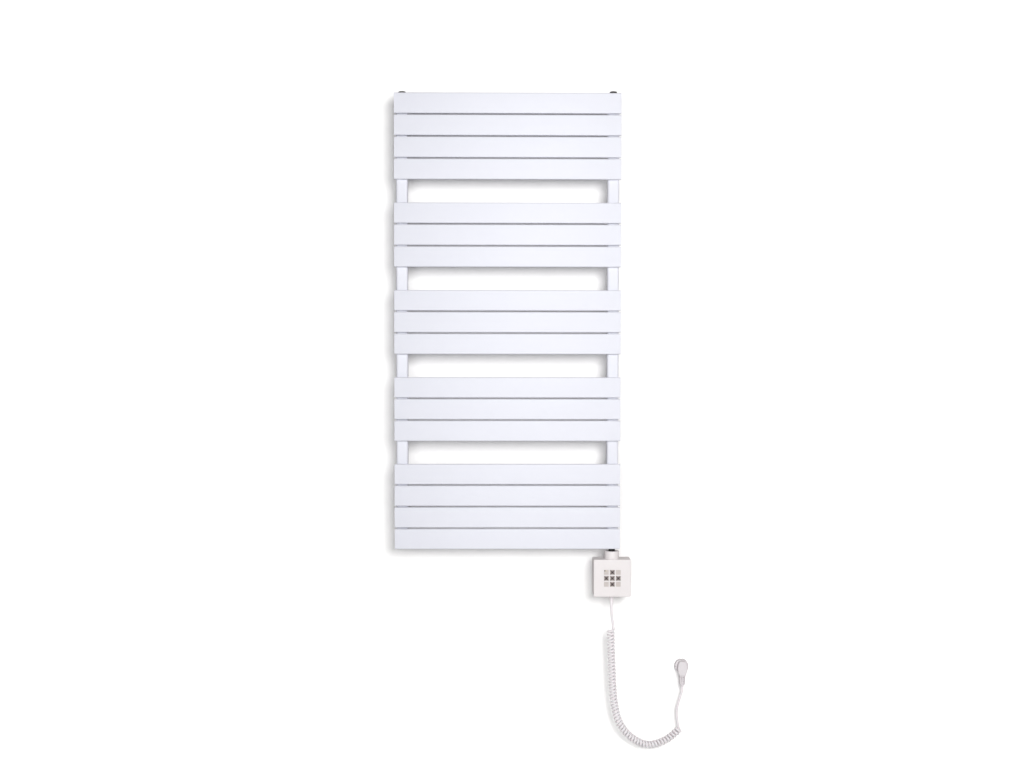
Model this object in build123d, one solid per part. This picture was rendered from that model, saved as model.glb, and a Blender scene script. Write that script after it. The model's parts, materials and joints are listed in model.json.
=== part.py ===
from build123d import *
import math
import os

os.makedirs("parts", exist_ok=True)

# Electric heated towel rail: flat slats welded on two uprights, a heating element screwed
# into the right upright, its controller below it, and a curly mains lead with an angled plug.
# Millimetres. X runs to the right, the wall is the plane Y = 0, the front faces -Y, +Z is up.
# The origin is the middle of the four wall screws.

# How far a cut runs past the face that it opens
overshoot = 1.0

# Slats
rail_width = 600.0
slat_counts = (4, 3, 3, 3, 4)
slat_height = 54.0
slat_depth = 11.0
slat_gap = 3.7
slat_wall = 1.5
slat_edge_radius = 3.0
end_plate_thickness = 1.5
end_plate_edge = 0.8
port_diameter = 12.0

# Uprights and their end caps
upright_width = 31.0
upright_depth = 35.0
upright_wall = 1.5
upright_edge_radius = 6.0
upright_side_inset = 4.0
upright_end_inset = 2.0
wall_clearance = 42.0
cap_thickness = 3.0
socket_wall = 2.5
socket_depth = 12.0
socket_slack = 0.2
thread_diameter = 20.96
thread_slack = 0.1
seal_width = 1.5
seal_thickness = 2.0
seal_slack = 0.1

# Plugs in the end caps
plug_thread_length = 12.0
plug_flange_diameter = 26.0
plug_flange_thickness = 3.0
plug_hex = 19.0
top_plug_hex_height = 7.5
vent_hex_height = 6.0
bottom_plug_flange_thickness = 2.0
bottom_plug_key = 10.0
bottom_plug_key_depth = 8.0
vent_screw_diameter = 6.0
vent_screw_slack = 0.05
vent_screw_length = 14.0
vent_head_diameter = 9.0
vent_head_thickness = 2.0
vent_slot_width = 1.2
vent_slot_depth = 1.0

# Wall brackets
bracket_spacing_z = 1000.0
base_diameter = 38.0
base_thickness = 5.0
base_edge = 1.2
wall_screw_hole = 5.5
wall_screw_head = 10.5
countersink_depth = 2.6
spigot_diameter = 16.0
spigot_bore = 11.5
sleeve_diameter = 22.0
sleeve_fit = 0.1
sleeve_web = 3.5
sleeve_base_gap = 3.0
sleeve_upright_gap = 0.3
boss_diameter = 14.0
boss_length = 10.0
boss_floor = 1.0
bracket_bolt_diameter = 8.0
bracket_bolt_length = 12.0
bracket_bolt_head = 13.0
bracket_bolt_head_height = 6.0
bracket_bolt_key = 6.0
bolt_head_room = 1.5
bolt_slack = 0.1
grub_diameter = 5.0
grub_key = 2.5
grub_key_depth = 1.2

# Heating element in the right upright
stem_diameter = 17.0
stem_gap = 10.6
element_hex = 24.0
element_hex_height = 8.0
element_tail_diameter = 18.0
element_tail_length = 12.0
rod_diameter = 6.5
rod_leg_offset = 4.6
rod_length = 500.0
rod_seat_depth = 20.0
sensor_diameter = 4.0
sensor_offset = 5.5
sensor_length = 300.0
sensor_wall = 0.5
element_fit = 0.05
clamp_nut_diameter = 23.0
clamp_nut_thickness = 4.0

# Collar between the rail and the controller
collar_diameter = 40.0
collar_height = 20.5
collar_wall = 2.0
collar_top = 2.2
collar_edge = 1.2
collar_opening_slack = 0.4

# Controller housing
housing_size = 100.0
housing_depth = 48.0
housing_front_depth = 36.0
housing_wall = 2.5
housing_corner = 3.0
housing_edge = 1.5
housing_post_diameter = 7.0
housing_post_inset = 5.5
housing_screw_diameter = 2.9
housing_screw_length = 16.0
housing_screw_head = 5.8
housing_screw_head_height = 2.2
housing_screw_sink = 1.0
housing_screw_slot_width = 0.8
housing_screw_slot_depth = 0.9
screw_slack = 0.1
screw_tip_gap = 1.0
seal_groove_width = 1.2
seal_groove_depth = 1.0
housing_seal_slack = 0.05

# Keypad
key_size = 12.6
key_pitch = 16.0
key_corner = 0.8
key_clearance = 0.15
key_proud = 0.6
key_relief = 0.4
key_star_reach = 5.4
key_star_waist = 2.9
key_flange_lip = 1.0
key_flange_thickness = 1.0
key_stem_diameter = 4.0
key_travel = 0.5
key_stop_gap = 0.1
flange_gap = 0.05
lens_diameter = 3.2
lens_offset = 4.1
lens_proud = 0.5
lens_slack = 0.05

# Circuit board behind the keypad
board_side_room = 10.0
board_end_room = 11.0
board_thickness = 1.6
board_setback = 8.0
board_post_diameter = 6.0
board_post_inset = 4.0
board_screw_diameter = 2.4
board_screw_length = 7.0
board_screw_head = 4.5
board_screw_head_height = 1.6
switch_size = 6.0
switch_height = 3.4
switch_button_diameter = 3.4
switch_button_height = 0.9
led_size = 3.0
led_height = 1.2
relay_size = (15.0, 12.0, 19.0)
transformer_size = (24.0, 17.0, 22.0)
terminal_size = (36.0, 14.0, 12.0)
terminal_drop = 18.0
component_gap = 4.0
wire_diameter = 2.0
wire_pitch = 5.0
core_pitch = 2.2
core_set_forward = 0.4

# Mains lead
cord_diameter = 6.5
relief_length = 25.0
relief_top_diameter = 10.5
relief_tip_diameter = 9.0
relief_neck_diameter = 12.0
relief_flange_diameter = 16.0
relief_flange_thickness = 2.0
relief_slack = 0.1
cord_inside_length = 6.0
curl_radius = 7.0
curl_turns = 50.75
curl_lead = 6.5

# Plug, by the middle of its round base on the wall
plug_x = 478.0
plug_z = -939.0
plug_wall_gap = 0.5
plug_base_diameter = 37.4
plug_base_depth = 14.0
plug_base_edge = 1.0
plug_side_groove_width = 4.0
plug_side_groove_depth = 1.6
hump_depth = 16.5
hump_width = 25.0
hump_top = 17.0
hump_top_width = 14.0
hump_shoulder = 10.5
hump_foot = 7.0
hump_end = 23.0
hump_edge = 2.0
tail_top_width = 16.0
tail_end_width = 13.6
tail_depth = 13.0
tail_end = 47.3
tail_corner = 3.0
tail_slot_width = 5.0
tail_slot_rib = 2.0
tail_slot_height = 3.6
tail_slot_depth = 3.0
tail_slot_rows = 4
tail_slot_pitch = 5.9
tail_tip_diameter = 8.5
tail_tip_length = 5.7
pin_diameter = 4.8
pin_neck_diameter = 4.4
pin_neck_proud = 0.5
pin_length = 19.0
pin_root = 9.0
pin_spacing = 19.0
pin_tip_round = 1.6
clip_width = 5.6
clip_thickness = 0.8
clip_recess_depth = 2.4
clip_side_gap = 0.3
clip_end_gap = 1.0

# Directions and shared places
UP, DOWN = (0, 0, 1), (0, 0, -1)
TO_WALL, TO_FRONT = (0, 1, 0), (0, -1, 0)
RIGHT = (1, 0, 0)

slat_pitch = slat_height + slat_gap
pitch_count = sum(slat_counts) + len(slat_counts) - 1
half_height = ((pitch_count - 1) * slat_pitch + slat_height) / 2
upright_x = rail_width / 2 - upright_side_inset - upright_width / 2
upright_back = -wall_clearance
upright_front = upright_back - upright_depth
upright_middle = (upright_front + upright_back) / 2
upright_end = half_height - upright_end_inset
slat_front = upright_front - slat_depth
thread_radius = thread_diameter / 2 - thread_slack
seal_seat_radius = thread_diameter / 2 + seal_width

collar_top_z = -upright_end - stem_gap
housing_top_z = collar_top_z - collar_height
housing_z = housing_top_z - housing_size / 2
housing_bottom_z = housing_top_z - housing_size
housing_front = upright_middle - housing_depth / 2
housing_split = housing_front + housing_front_depth
housing_back = housing_front + housing_depth
cover_inside = housing_front + housing_wall
board_front = cover_inside + board_setback
board_back = board_front + board_thickness
board_width = housing_size - 2 * board_side_room
board_height = housing_size - 2 * board_end_room

nodes = {}


def keep(name, *shapes):
    """Put every solid of the shapes in one named node."""
    nodes[name] = [solid for shape in shapes for solid in shape.solids()]


def bar(start, direction, radius, length):
    """Round bar that runs from start along direction."""
    align = (Align.CENTER, Align.CENTER, Align.MIN)
    return Plane(origin=start, z_dir=direction) * Cylinder(radius, length, align=align)


def taper(start, direction, radius, end_radius, length):
    """Cone that runs from start along direction."""
    align = (Align.CENTER, Align.CENTER, Align.MIN)
    return Plane(origin=start, z_dir=direction) * Cone(radius, end_radius, length, align=align)


def hex_bar(start, direction, across_flats, length):
    """Six-sided bar that runs from start along direction."""
    section = RegularPolygon(across_flats / 2, 6, major_radius=False)
    return extrude(Plane(origin=start, z_dir=direction) * section, amount=length)


def block(low, high):
    """Box between two opposite corners."""
    size = [top - bottom for bottom, top in zip(low, high)]
    return Pos(*low) * Box(*size, align=(Align.MIN, Align.MIN, Align.MIN))


def facing(x, z, back, front, sketch):
    """Extrude a sketch of the X-Z plane, centred on x and z, from back forward to front."""
    plane = Plane(origin=(x, back, z), x_dir=RIGHT, z_dir=TO_FRONT)
    return extrude(plane * sketch, amount=back - front)


def grid(columns, rows):
    """Offsets of every column and row pair."""
    return [(x, z) for z in rows for x in columns]


# Slats

def slat_section(shrink):
    """Rounded slat section in the Y-Z plane, drawn in from the outside by shrink."""
    depth = slat_depth - 2 * shrink
    height = slat_height - 2 * shrink
    radius = min(max(slat_edge_radius - shrink, 0.5), depth / 2 - 0.2)
    return Plane.YZ * Pos(slat_front + slat_depth / 2, 0) * RectangleRounded(depth, height, radius)


def make_slat():
    """Hollow slat at mid height, open at its ends, with a port for each upright."""
    length = rail_width - 2 * end_plate_thickness
    tube = extrude(slat_section(0) - slat_section(slat_wall), amount=length / 2, both=True)
    for side in (-1, 1):
        start = (side * upright_x, upright_front - 2 * slat_wall, 0)
        tube -= bar(start, TO_WALL, port_diameter / 2, 3 * slat_wall)
    return tube


def make_end_plate():
    """Closing plate for the right end of a slat, with an eased outer rim."""
    inner_x = rail_width / 2 - end_plate_thickness
    plate = Pos(inner_x, 0, 0) * extrude(slat_section(0), amount=end_plate_thickness)
    rim = plate.faces().sort_by(Axis.X)[-1].edges()
    return chamfer(rim, min(end_plate_edge, end_plate_thickness / 2))


def slat_heights():
    """Middle height of each slat, from the top down, one pitch left open between groups."""
    heights = []
    place = 0
    for count in slat_counts:
        for _ in range(count):
            heights.append(half_height - slat_height / 2 - place * slat_pitch)
            place += 1
        place += 1
    return heights


slat_zs = slat_heights()
slat = make_slat()
end_plate = make_end_plate()
for number, z in enumerate(slat_zs, start=1):
    keep(f"slat_{number:02d}", Pos(0, 0, z) * slat)
left_end_plate = mirror(end_plate, about=Plane.YZ)
keep("slat_end_plates",
     *[Pos(0, 0, z) * plate for z in slat_zs for plate in (left_end_plate, end_plate)])


# Uprights

def upright_section(shrink):
    """Tube section with a flat front and a half-round back, drawn in by shrink."""
    width = upright_width - 2 * shrink
    round_y = upright_back - upright_width / 2
    front = upright_front + shrink
    flat = Pos(0, (round_y + front) / 2) * Rectangle(width, round_y - front)
    section = flat + Pos(0, round_y) * Circle(width / 2)
    corners = section.vertices().sort_by(Axis.Y)[:2]
    return fillet(corners, max(upright_edge_radius - shrink, 0.5))


def make_upright(ports):
    """Upright tube centred on X = 0, with a port behind each slat when ports is true."""
    half = upright_end - cap_thickness
    wall = upright_section(0) - upright_section(upright_wall)
    tube = Pos(0, 0, -half) * extrude(wall, amount=2 * half)
    for z in ports:
        start = (0, upright_front - upright_wall, z)
        tube -= bar(start, TO_WALL, port_diameter / 2, 3 * upright_wall)
    return tube


def make_cap():
    """Top end cap centred on X = 0: plate, threaded socket below it and a seat for the seal."""
    plate = Pos(0, 0, upright_end - cap_thickness) * extrude(upright_section(0), amount=cap_thickness)
    room = Pos(0, 0, upright_end - cap_thickness - socket_depth) * extrude(
        upright_section(upright_wall + socket_slack), amount=socket_depth)
    mouth = (0, upright_middle, upright_end)
    socket = bar(mouth, DOWN, thread_diameter / 2 + socket_wall, cap_thickness + socket_depth) & room
    cap = plate + socket
    cap -= bar(mouth, DOWN, thread_diameter / 2, 2 * (cap_thickness + socket_depth))
    return cap - bar(mouth, DOWN, seal_seat_radius, seal_thickness)


upright = make_upright(slat_zs)
keep("upright_left", Pos(-upright_x, 0, 0) * upright)
keep("upright_right", Pos(upright_x, 0, 0) * upright)

top_cap = make_cap()
bottom_cap = mirror(top_cap, about=Plane.XY)
keep("upright_caps",
     *[Pos(x, 0, 0) * cap for x in (-upright_x, upright_x) for cap in (top_cap, bottom_cap)])


# Plugs in the caps

def seal_ring(x, outward):
    """Flat rubber ring in the seat of a cap; outward is UP at the top and DOWN at the foot."""
    end = upright_end * outward[2]
    inward = (0, 0, -outward[2])
    start = (x, upright_middle, end)
    ring = bar(start, inward, seal_seat_radius - seal_slack, seal_thickness - seal_slack)
    return ring - bar(start, inward, thread_radius + seal_slack, seal_thickness)


def threaded_part(x, outward):
    """Threaded end of a plug, as a plain cylinder, from the cap's face inward."""
    start = (x, upright_middle, upright_end * outward[2])
    return bar(start, (0, 0, -outward[2]), thread_radius, plug_thread_length)


keep("plug_seals", *[seal_ring(x, outward) for x in (-upright_x, upright_x) for outward in (UP, DOWN)])

left_top = (-upright_x, upright_middle, upright_end)
right_top = (upright_x, upright_middle, upright_end)
left_foot = (-upright_x, upright_middle, -upright_end)
right_foot = (upright_x, upright_middle, -upright_end)
hex_foot = upright_end + plug_flange_thickness

top_plug = threaded_part(upright_x, UP)
top_plug += bar(right_top, UP, plug_flange_diameter / 2, plug_flange_thickness)
top_plug += hex_bar((upright_x, upright_middle, hex_foot), UP, plug_hex, top_plug_hex_height)
keep("top_plug", top_plug)

bottom_plug = threaded_part(-upright_x, DOWN)
bottom_plug += bar(left_foot, DOWN, plug_flange_diameter / 2, bottom_plug_flange_thickness)
key_mouth = (-upright_x, upright_middle, -upright_end - bottom_plug_flange_thickness)
bottom_plug -= hex_bar(key_mouth, UP, bottom_plug_key, bottom_plug_key_depth)
keep("bottom_plug", bottom_plug)

vent_top = hex_foot + vent_hex_height
vent_plug = threaded_part(-upright_x, UP)
vent_plug += bar(left_top, UP, plug_flange_diameter / 2, plug_flange_thickness)
vent_plug += hex_bar((-upright_x, upright_middle, hex_foot), UP, plug_hex, vent_hex_height)
vent_axis_top = (-upright_x, upright_middle, vent_top)
vent_plug -= bar(vent_axis_top, DOWN, vent_screw_diameter / 2 + vent_screw_slack,
                  vent_screw_length + overshoot)
keep("vent_plug", vent_plug)

head_foot = vent_top + vent_screw_slack
head_top = head_foot + vent_head_thickness
vent_screw = bar((-upright_x, upright_middle, head_foot), UP, vent_head_diameter / 2, vent_head_thickness)
vent_screw += bar((-upright_x, upright_middle, head_foot), DOWN, vent_screw_diameter / 2, vent_screw_length)
half_slot = vent_slot_width / 2
slot_floor = head_top - vent_slot_depth
vent_screw -= block((-upright_x - vent_head_diameter, upright_middle - half_slot, slot_floor),
                    (-upright_x + vent_head_diameter, upright_middle + half_slot, head_top + overshoot))
keep("vent_screw", vent_screw)


# Wall brackets

web_front = upright_back + boss_length
web_back = web_front + sleeve_web
sleeve_back = -base_thickness - sleeve_base_gap
spigot_front = web_back + bracket_bolt_head_height + bolt_head_room
grub_y = (sleeve_back + spigot_front) / 2


def bracket_places():
    """The X and Z of the four wall brackets."""
    return grid((-upright_x, upright_x), (bracket_spacing_z / 2, -bracket_spacing_z / 2))


def make_base():
    """Wall flange with its spigot and a countersunk screw hole."""
    flange = bar((0, 0, 0), TO_FRONT, base_diameter / 2, base_thickness)
    front_rim = flange.edges().filter_by(GeomType.CIRCLE).sort_by(Axis.Y)[:1]
    flange = chamfer(front_rim, min(base_edge, base_thickness / 2))
    base = flange + bar((0, 0, 0), TO_FRONT, spigot_diameter / 2, -spigot_front)
    base -= bar((0, -base_thickness, 0), TO_FRONT, spigot_bore / 2, -spigot_front)
    base -= bar((0, overshoot, 0), TO_FRONT, wall_screw_hole / 2, -spigot_front)
    countersink = taper((0, -base_thickness, 0), TO_WALL, wall_screw_head / 2, wall_screw_hole / 2,
                        countersink_depth)
    return base - countersink


def make_sleeve():
    """Sleeve that joins the spigot to the boss on the upright, with a web for the bolt."""
    front = upright_back + sleeve_upright_gap
    sleeve = bar((0, sleeve_back, 0), TO_FRONT, sleeve_diameter / 2, sleeve_back - front)
    sleeve -= bar((0, sleeve_back, 0), TO_FRONT, spigot_diameter / 2 + sleeve_fit, sleeve_back - web_back)
    sleeve -= bar((0, web_front, 0), TO_FRONT, boss_diameter / 2 + sleeve_fit, web_front - front)
    sleeve -= bar((0, web_back, 0), TO_FRONT, bracket_bolt_diameter / 2 + sleeve_fit, sleeve_web)
    return sleeve - bar((0, grub_y, 0), DOWN, grub_diameter / 2, sleeve_diameter)


def make_boss():
    """Threaded boss, cut to sit on the round back of the upright."""
    deep = upright_width / 2
    boss = bar((0, web_front, 0), TO_FRONT, boss_diameter / 2, boss_length + deep)
    solid_tube = Pos(0, 0, -boss_diameter) * extrude(upright_section(0), amount=2 * boss_diameter)
    boss = (boss - solid_tube) & block((-deep, upright_back - deep, -deep), (deep, 0, deep))
    boss = boss.solids().sort_by(Axis.Y)[-1]
    return boss - bar((0, web_front, 0), TO_FRONT, bracket_bolt_diameter / 2, boss_length - boss_floor)


def make_bracket_bolt():
    """Socket-head bolt through the web into the boss."""
    bolt = bar((0, web_back, 0), TO_WALL, bracket_bolt_head / 2, bracket_bolt_head_height)
    bolt += bar((0, web_back, 0), TO_FRONT, bracket_bolt_diameter / 2 - bolt_slack, bracket_bolt_length)
    key_start = (0, web_back + bracket_bolt_head_height, 0)
    return bolt - hex_bar(key_start, TO_FRONT, bracket_bolt_key, bracket_bolt_head_height / 2)


def make_grub_screw():
    """Grub screw from below that pins the sleeve on the spigot."""
    reach = spigot_diameter / 2 + bolt_slack
    length = sleeve_diameter / 2 - reach
    screw = bar((0, grub_y, -reach), DOWN, grub_diameter / 2 - bolt_slack, length)
    return screw - hex_bar((0, grub_y, -reach - length), UP, grub_key, grub_key_depth)


for node, piece in (("bracket_bases", make_base()), ("bracket_sleeves", make_sleeve()),
                    ("upright_bosses", make_boss()), ("bracket_bolts", make_bracket_bolt()),
                    ("bracket_grub_screws", make_grub_screw())):
    keep(node, *[Pos(x, 0, z) * piece for x, z in bracket_places()])


# Heating element

element_bottom = housing_top_z - element_tail_length
element_top = -upright_end + plug_thread_length
rod_foot = element_top - rod_seat_depth
rod_bend_z = element_top + rod_length - rod_leg_offset


def element_hole(dx, dy, diameter):
    """Blind hole in the top of the element's body."""
    start = (upright_x + dx, upright_middle + dy, element_top)
    return bar(start, DOWN, diameter / 2 + element_fit, rod_seat_depth)


def make_element_plug():
    """Threaded plug with a stem through the collar, a hexagon and a tail into the housing."""
    hex_top = housing_top_z + element_hex_height
    plug = threaded_part(upright_x, DOWN)
    plug += bar(right_foot, DOWN, stem_diameter / 2, -upright_end - housing_top_z)
    plug += hex_bar((upright_x, upright_middle, hex_top), DOWN, element_hex, element_hex_height)
    tail_top = (upright_x, upright_middle, housing_top_z)
    plug += bar(tail_top, DOWN, element_tail_diameter / 2, element_tail_length)
    for side in (-1, 1):
        plug -= element_hole(side * rod_leg_offset, 0, rod_diameter)
    return plug - element_hole(0, sensor_offset, sensor_diameter)


def make_heating_rod():
    """Hairpin rod: two legs joined by a half turn at the top."""
    left, right = upright_x - rod_leg_offset, upright_x + rod_leg_offset
    foot_left, foot_right = (left, upright_middle, rod_foot), (right, upright_middle, rod_foot)
    bend_left, bend_right = (left, upright_middle, rod_bend_z), (right, upright_middle, rod_bend_z)
    crown = (upright_x, upright_middle, rod_bend_z + rod_leg_offset)
    bend = ThreePointArc(bend_left, crown, bend_right)
    path = Line(foot_left, bend_left) + bend + Line(bend_right, foot_right)
    return sweep(Plane(origin=foot_left, z_dir=UP) * Circle(rod_diameter / 2), path=path)


keep("element_plug", make_element_plug())
keep("heating_rod", make_heating_rod())
sensor_foot = (upright_x, upright_middle + sensor_offset, rod_foot)
sensor = bar(sensor_foot, UP, sensor_diameter / 2, sensor_length)
sensor_bore = bar(sensor_foot, UP, sensor_diameter / 2 - sensor_wall, sensor_length - sensor_wall)
keep("sensor_tube", sensor - sensor_bore)

nut_top = (upright_x, upright_middle, housing_top_z - housing_wall)
nut = bar(nut_top, DOWN, clamp_nut_diameter / 2, clamp_nut_thickness)
keep("clamp_nut", nut - bar(nut_top, DOWN, element_tail_diameter / 2 + element_fit, clamp_nut_thickness))


# Collar

def make_collar():
    """White cover around the element's hexagon, open below and resting on the housing."""
    top = (upright_x, upright_middle, collar_top_z)
    collar = bar(top, DOWN, collar_diameter / 2, collar_height)
    collar = fillet(collar.edges().filter_by(GeomType.CIRCLE).sort_by(Axis.Z)[-1:], collar_edge)
    inner_top = (upright_x, upright_middle, collar_top_z - collar_top)
    collar -= bar(inner_top, DOWN, collar_diameter / 2 - collar_wall, collar_height)
    return collar - bar(top, DOWN, thread_diameter / 2 + collar_opening_slack, collar_height)


keep("collar", make_collar())


# Controller housing

half_housing = housing_size / 2
post_offset = half_housing - housing_post_inset
housing_corners = grid((-post_offset, post_offset), (-post_offset, post_offset))
board_dx = board_width / 2 - board_post_inset
board_dz = board_height / 2 - board_post_inset
board_corners = grid((-board_dx, board_dx), (-board_dz, board_dz))
key_offsets = {"up": (0, key_pitch), "left": (-key_pitch, 0), "centre": (0, 0),
               "right": (key_pitch, 0), "down": (0, -key_pitch)}
window_offsets = grid((-key_pitch, key_pitch), (key_pitch, -key_pitch))
receiver_offset = (-key_pitch - lens_offset, key_pitch + lens_offset)


def housing_outline(shrink):
    """Rounded square of the housing, drawn in by shrink."""
    size = housing_size - 2 * shrink
    return RectangleRounded(size, size, max(housing_corner - shrink, 0.5))


def housing_bar(offset, back, front, diameter):
    """Round bar along Y in the housing, from back forward to front."""
    start = (upright_x + offset[0], back, housing_z + offset[1])
    return bar(start, TO_FRONT, diameter / 2, back - front)


def square_at(offset, size, corner, back, front):
    """Rounded square block in the keypad, from back forward to front."""
    outline = RectangleRounded(size, size, corner)
    return facing(upright_x + offset[0], housing_z + offset[1], back, front, outline)


def make_front_cover():
    """Front shell with corner posts, board posts, keypad openings and two ports."""
    cover = facing(upright_x, housing_z, housing_split, housing_front, housing_outline(0))
    cover = fillet(cover.edges().group_by(Axis.Y)[0], housing_edge)
    cover -= facing(upright_x, housing_z, housing_split, cover_inside, housing_outline(housing_wall))
    screw_hole = housing_screw_diameter + screw_slack
    for corner in housing_corners:
        cover += housing_bar(corner, housing_split, cover_inside, housing_post_diameter)
        cover -= housing_bar(corner, housing_split, housing_split - housing_screw_length, screw_hole)
    for corner in board_corners:
        cover += housing_bar(corner, board_front, cover_inside, board_post_diameter)
        cover -= housing_bar(corner, board_front, board_front - board_screw_length,
                             board_screw_diameter + screw_slack)
    for offset in list(key_offsets.values()) + window_offsets:
        hole = key_size + 2 * key_clearance
        cover -= square_at(offset, hole, key_corner, cover_inside + overshoot, housing_front - overshoot)
    through = housing_wall + 2 * overshoot
    neck = (upright_x, upright_middle, housing_top_z + overshoot)
    cover -= bar(neck, DOWN, element_tail_diameter / 2 + screw_slack, through)
    outlet = (upright_x, upright_middle, housing_bottom_z - overshoot)
    return cover - bar(outlet, UP, relief_neck_diameter / 2 + relief_slack, through)


def seal_frame(slack):
    """Square ring for the housing seal, drawn in on every side by slack."""
    outer = (housing_wall - seal_groove_width) / 2 + slack
    inner = (housing_wall + seal_groove_width) / 2 - slack
    return housing_outline(outer) - housing_outline(inner)


screw_head_seat = housing_back - housing_screw_head_height - housing_screw_sink


def make_rear_cover():
    """Rear shell with the seal groove in its rim and four screw posts."""
    cover = facing(upright_x, housing_z, housing_back, housing_split, housing_outline(0))
    cover = fillet(cover.edges().group_by(Axis.Y)[-1], housing_edge)
    floor = housing_back - housing_wall
    outside = housing_back + overshoot
    cover -= facing(upright_x, housing_z, floor, housing_split, housing_outline(housing_wall))
    screw_hole = housing_screw_diameter + 3 * screw_slack
    head_hole = housing_screw_head + 2 * screw_slack
    for corner in housing_corners:
        cover += housing_bar(corner, floor, housing_split, housing_post_diameter)
        cover -= housing_bar(corner, outside, housing_split - overshoot, screw_hole)
        cover -= housing_bar(corner, outside, screw_head_seat, head_hole)
    groove_floor = housing_split + seal_groove_depth
    return cover - facing(upright_x, housing_z, groove_floor, housing_split, seal_frame(0))


def make_housing_screw(corner):
    """Screw from the rear cover's seat into a front corner post."""
    head_back = screw_head_seat + housing_screw_head_height
    head = housing_bar(corner, head_back, screw_head_seat, housing_screw_head)
    tip = housing_split - housing_screw_length + screw_tip_gap
    shank = housing_bar(corner, screw_head_seat, tip, housing_screw_diameter)
    slot = Box(housing_screw_slot_width, 2 * housing_screw_slot_depth, 2 * housing_screw_head)
    drive = Pos(upright_x + corner[0], head_back, housing_z + corner[1]) * slot
    return head + shank - drive


keep("front_cover", make_front_cover())
keep("rear_cover", make_rear_cover())
seal_back = housing_split + seal_groove_depth - housing_seal_slack
keep("housing_seal", facing(upright_x, housing_z, seal_back, housing_split, seal_frame(housing_seal_slack)))
keep("housing_screws", *[make_housing_screw(corner) for corner in housing_corners])


# Keypad

key_front = housing_front - key_proud
flange_front = cover_inside + flange_gap
flange_back = flange_front + key_flange_thickness
flange_size = key_size + 2 * key_flange_lip
button_front = board_front - switch_height - switch_button_height
key_stem_end = button_front - key_travel - key_stop_gap


def key_star():
    """Square with its four sides drawn in at the middle, the raised mark on a key."""
    reach, waist = key_star_reach, key_star_waist
    points = [(-reach, reach), (0, waist), (reach, reach), (waist, 0),
              (reach, -reach), (0, -waist), (-reach, -reach), (-waist, 0)]
    return make_face(Polyline(*points, close=True))


def make_key(offset):
    """Key top with its raised mark, a flange behind the cover and a stem to the switch."""
    key = square_at(offset, key_size, key_corner, flange_front, key_front)
    x, z = upright_x + offset[0], housing_z + offset[1]
    key += facing(x, z, key_front, key_front - key_relief, key_star())
    key += square_at(offset, flange_size, key_corner, flange_back, flange_front)
    return key + housing_bar(offset, key_stem_end, flange_back, key_stem_diameter)


def make_window(offset):
    """Fixed light window, level with the key tops, with its flange on the cover."""
    window = square_at(offset, key_size, key_corner, cover_inside, key_front)
    window += square_at(offset, flange_size, key_corner, cover_inside + key_flange_thickness, cover_inside)
    lens_hole = lens_diameter + 2 * lens_slack
    behind = cover_inside + key_flange_thickness + overshoot
    return window - housing_bar(receiver_offset, behind, key_front - overshoot, lens_hole)


for name, offset in key_offsets.items():
    keep(f"key_{name}", make_key(offset))
keep("corner_windows", *[make_window(offset) for offset in window_offsets])
lens_back = cover_inside + key_flange_thickness
lens_front = key_front - lens_proud
keep("receiver_lens", housing_bar(receiver_offset, lens_back, lens_front, lens_diameter))


# Circuit board and what it carries

def on_board(x, z, size, back, front):
    """Box on the board, centred on x and z of the board, from back forward to front."""
    return facing(upright_x + x, housing_z + z, back, front, Rectangle(size[0], size[1]))


def make_board():
    """Board with four screw holes."""
    board = on_board(0, 0, (board_width, board_height), board_back, board_front)
    hole = board_screw_diameter + 4 * screw_slack
    for corner in board_corners:
        board -= housing_bar(corner, board_back + overshoot, board_front - overshoot, hole)
    return board


def make_board_screw(corner):
    """Screw from behind the board into a post of the front cover."""
    head = housing_bar(corner, board_back + board_screw_head_height, board_back, board_screw_head)
    tip = board_front - board_screw_length + screw_tip_gap
    return head + housing_bar(corner, board_back, tip, board_screw_diameter)


def make_switch(offset):
    """Push switch: square body on the board with a round button facing the key."""
    body = on_board(*offset, (switch_size, switch_size), board_front, board_front - switch_height)
    return body + housing_bar(offset, board_front - switch_height, button_front, switch_button_diameter)


def behind_board(x, z, size):
    """Component of size (width, depth, height) on the back of the board."""
    return on_board(x, z, (size[0], size[2]), board_back + size[1], board_back)


keep("circuit_board", make_board())
keep("board_screws", *[make_board_screw(corner) for corner in board_corners])
keep("tact_switches", *[make_switch(offset) for offset in key_offsets.values()])
keep("terminal_block", behind_board(0, -terminal_drop, terminal_size))
row_foot = -terminal_drop + terminal_size[2] / 2 + component_gap
side_room = wire_pitch + wire_diameter / 2 + component_gap
leds = [on_board(*offset, (led_size, led_size), board_front, board_front - led_height)
        for offset in window_offsets]
relay = behind_board(-side_room - relay_size[0] / 2, row_foot + relay_size[2] / 2, relay_size)
transformer = behind_board(side_room + transformer_size[0] / 2, row_foot + transformer_size[2] / 2,
                           transformer_size)
keep("board_components", relay, transformer, *leds)


# Wires inside the housing and the mains lead's entry

relief_end_z = housing_bottom_z - relief_length
cord_inside_z = housing_bottom_z + housing_wall + relief_flange_thickness + cord_inside_length
terminal_top = housing_z - terminal_drop + terminal_size[2] / 2
terminal_bottom = housing_z - terminal_drop - terminal_size[2] / 2
terminal_y = board_back + terminal_size[1] - wire_diameter


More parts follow.
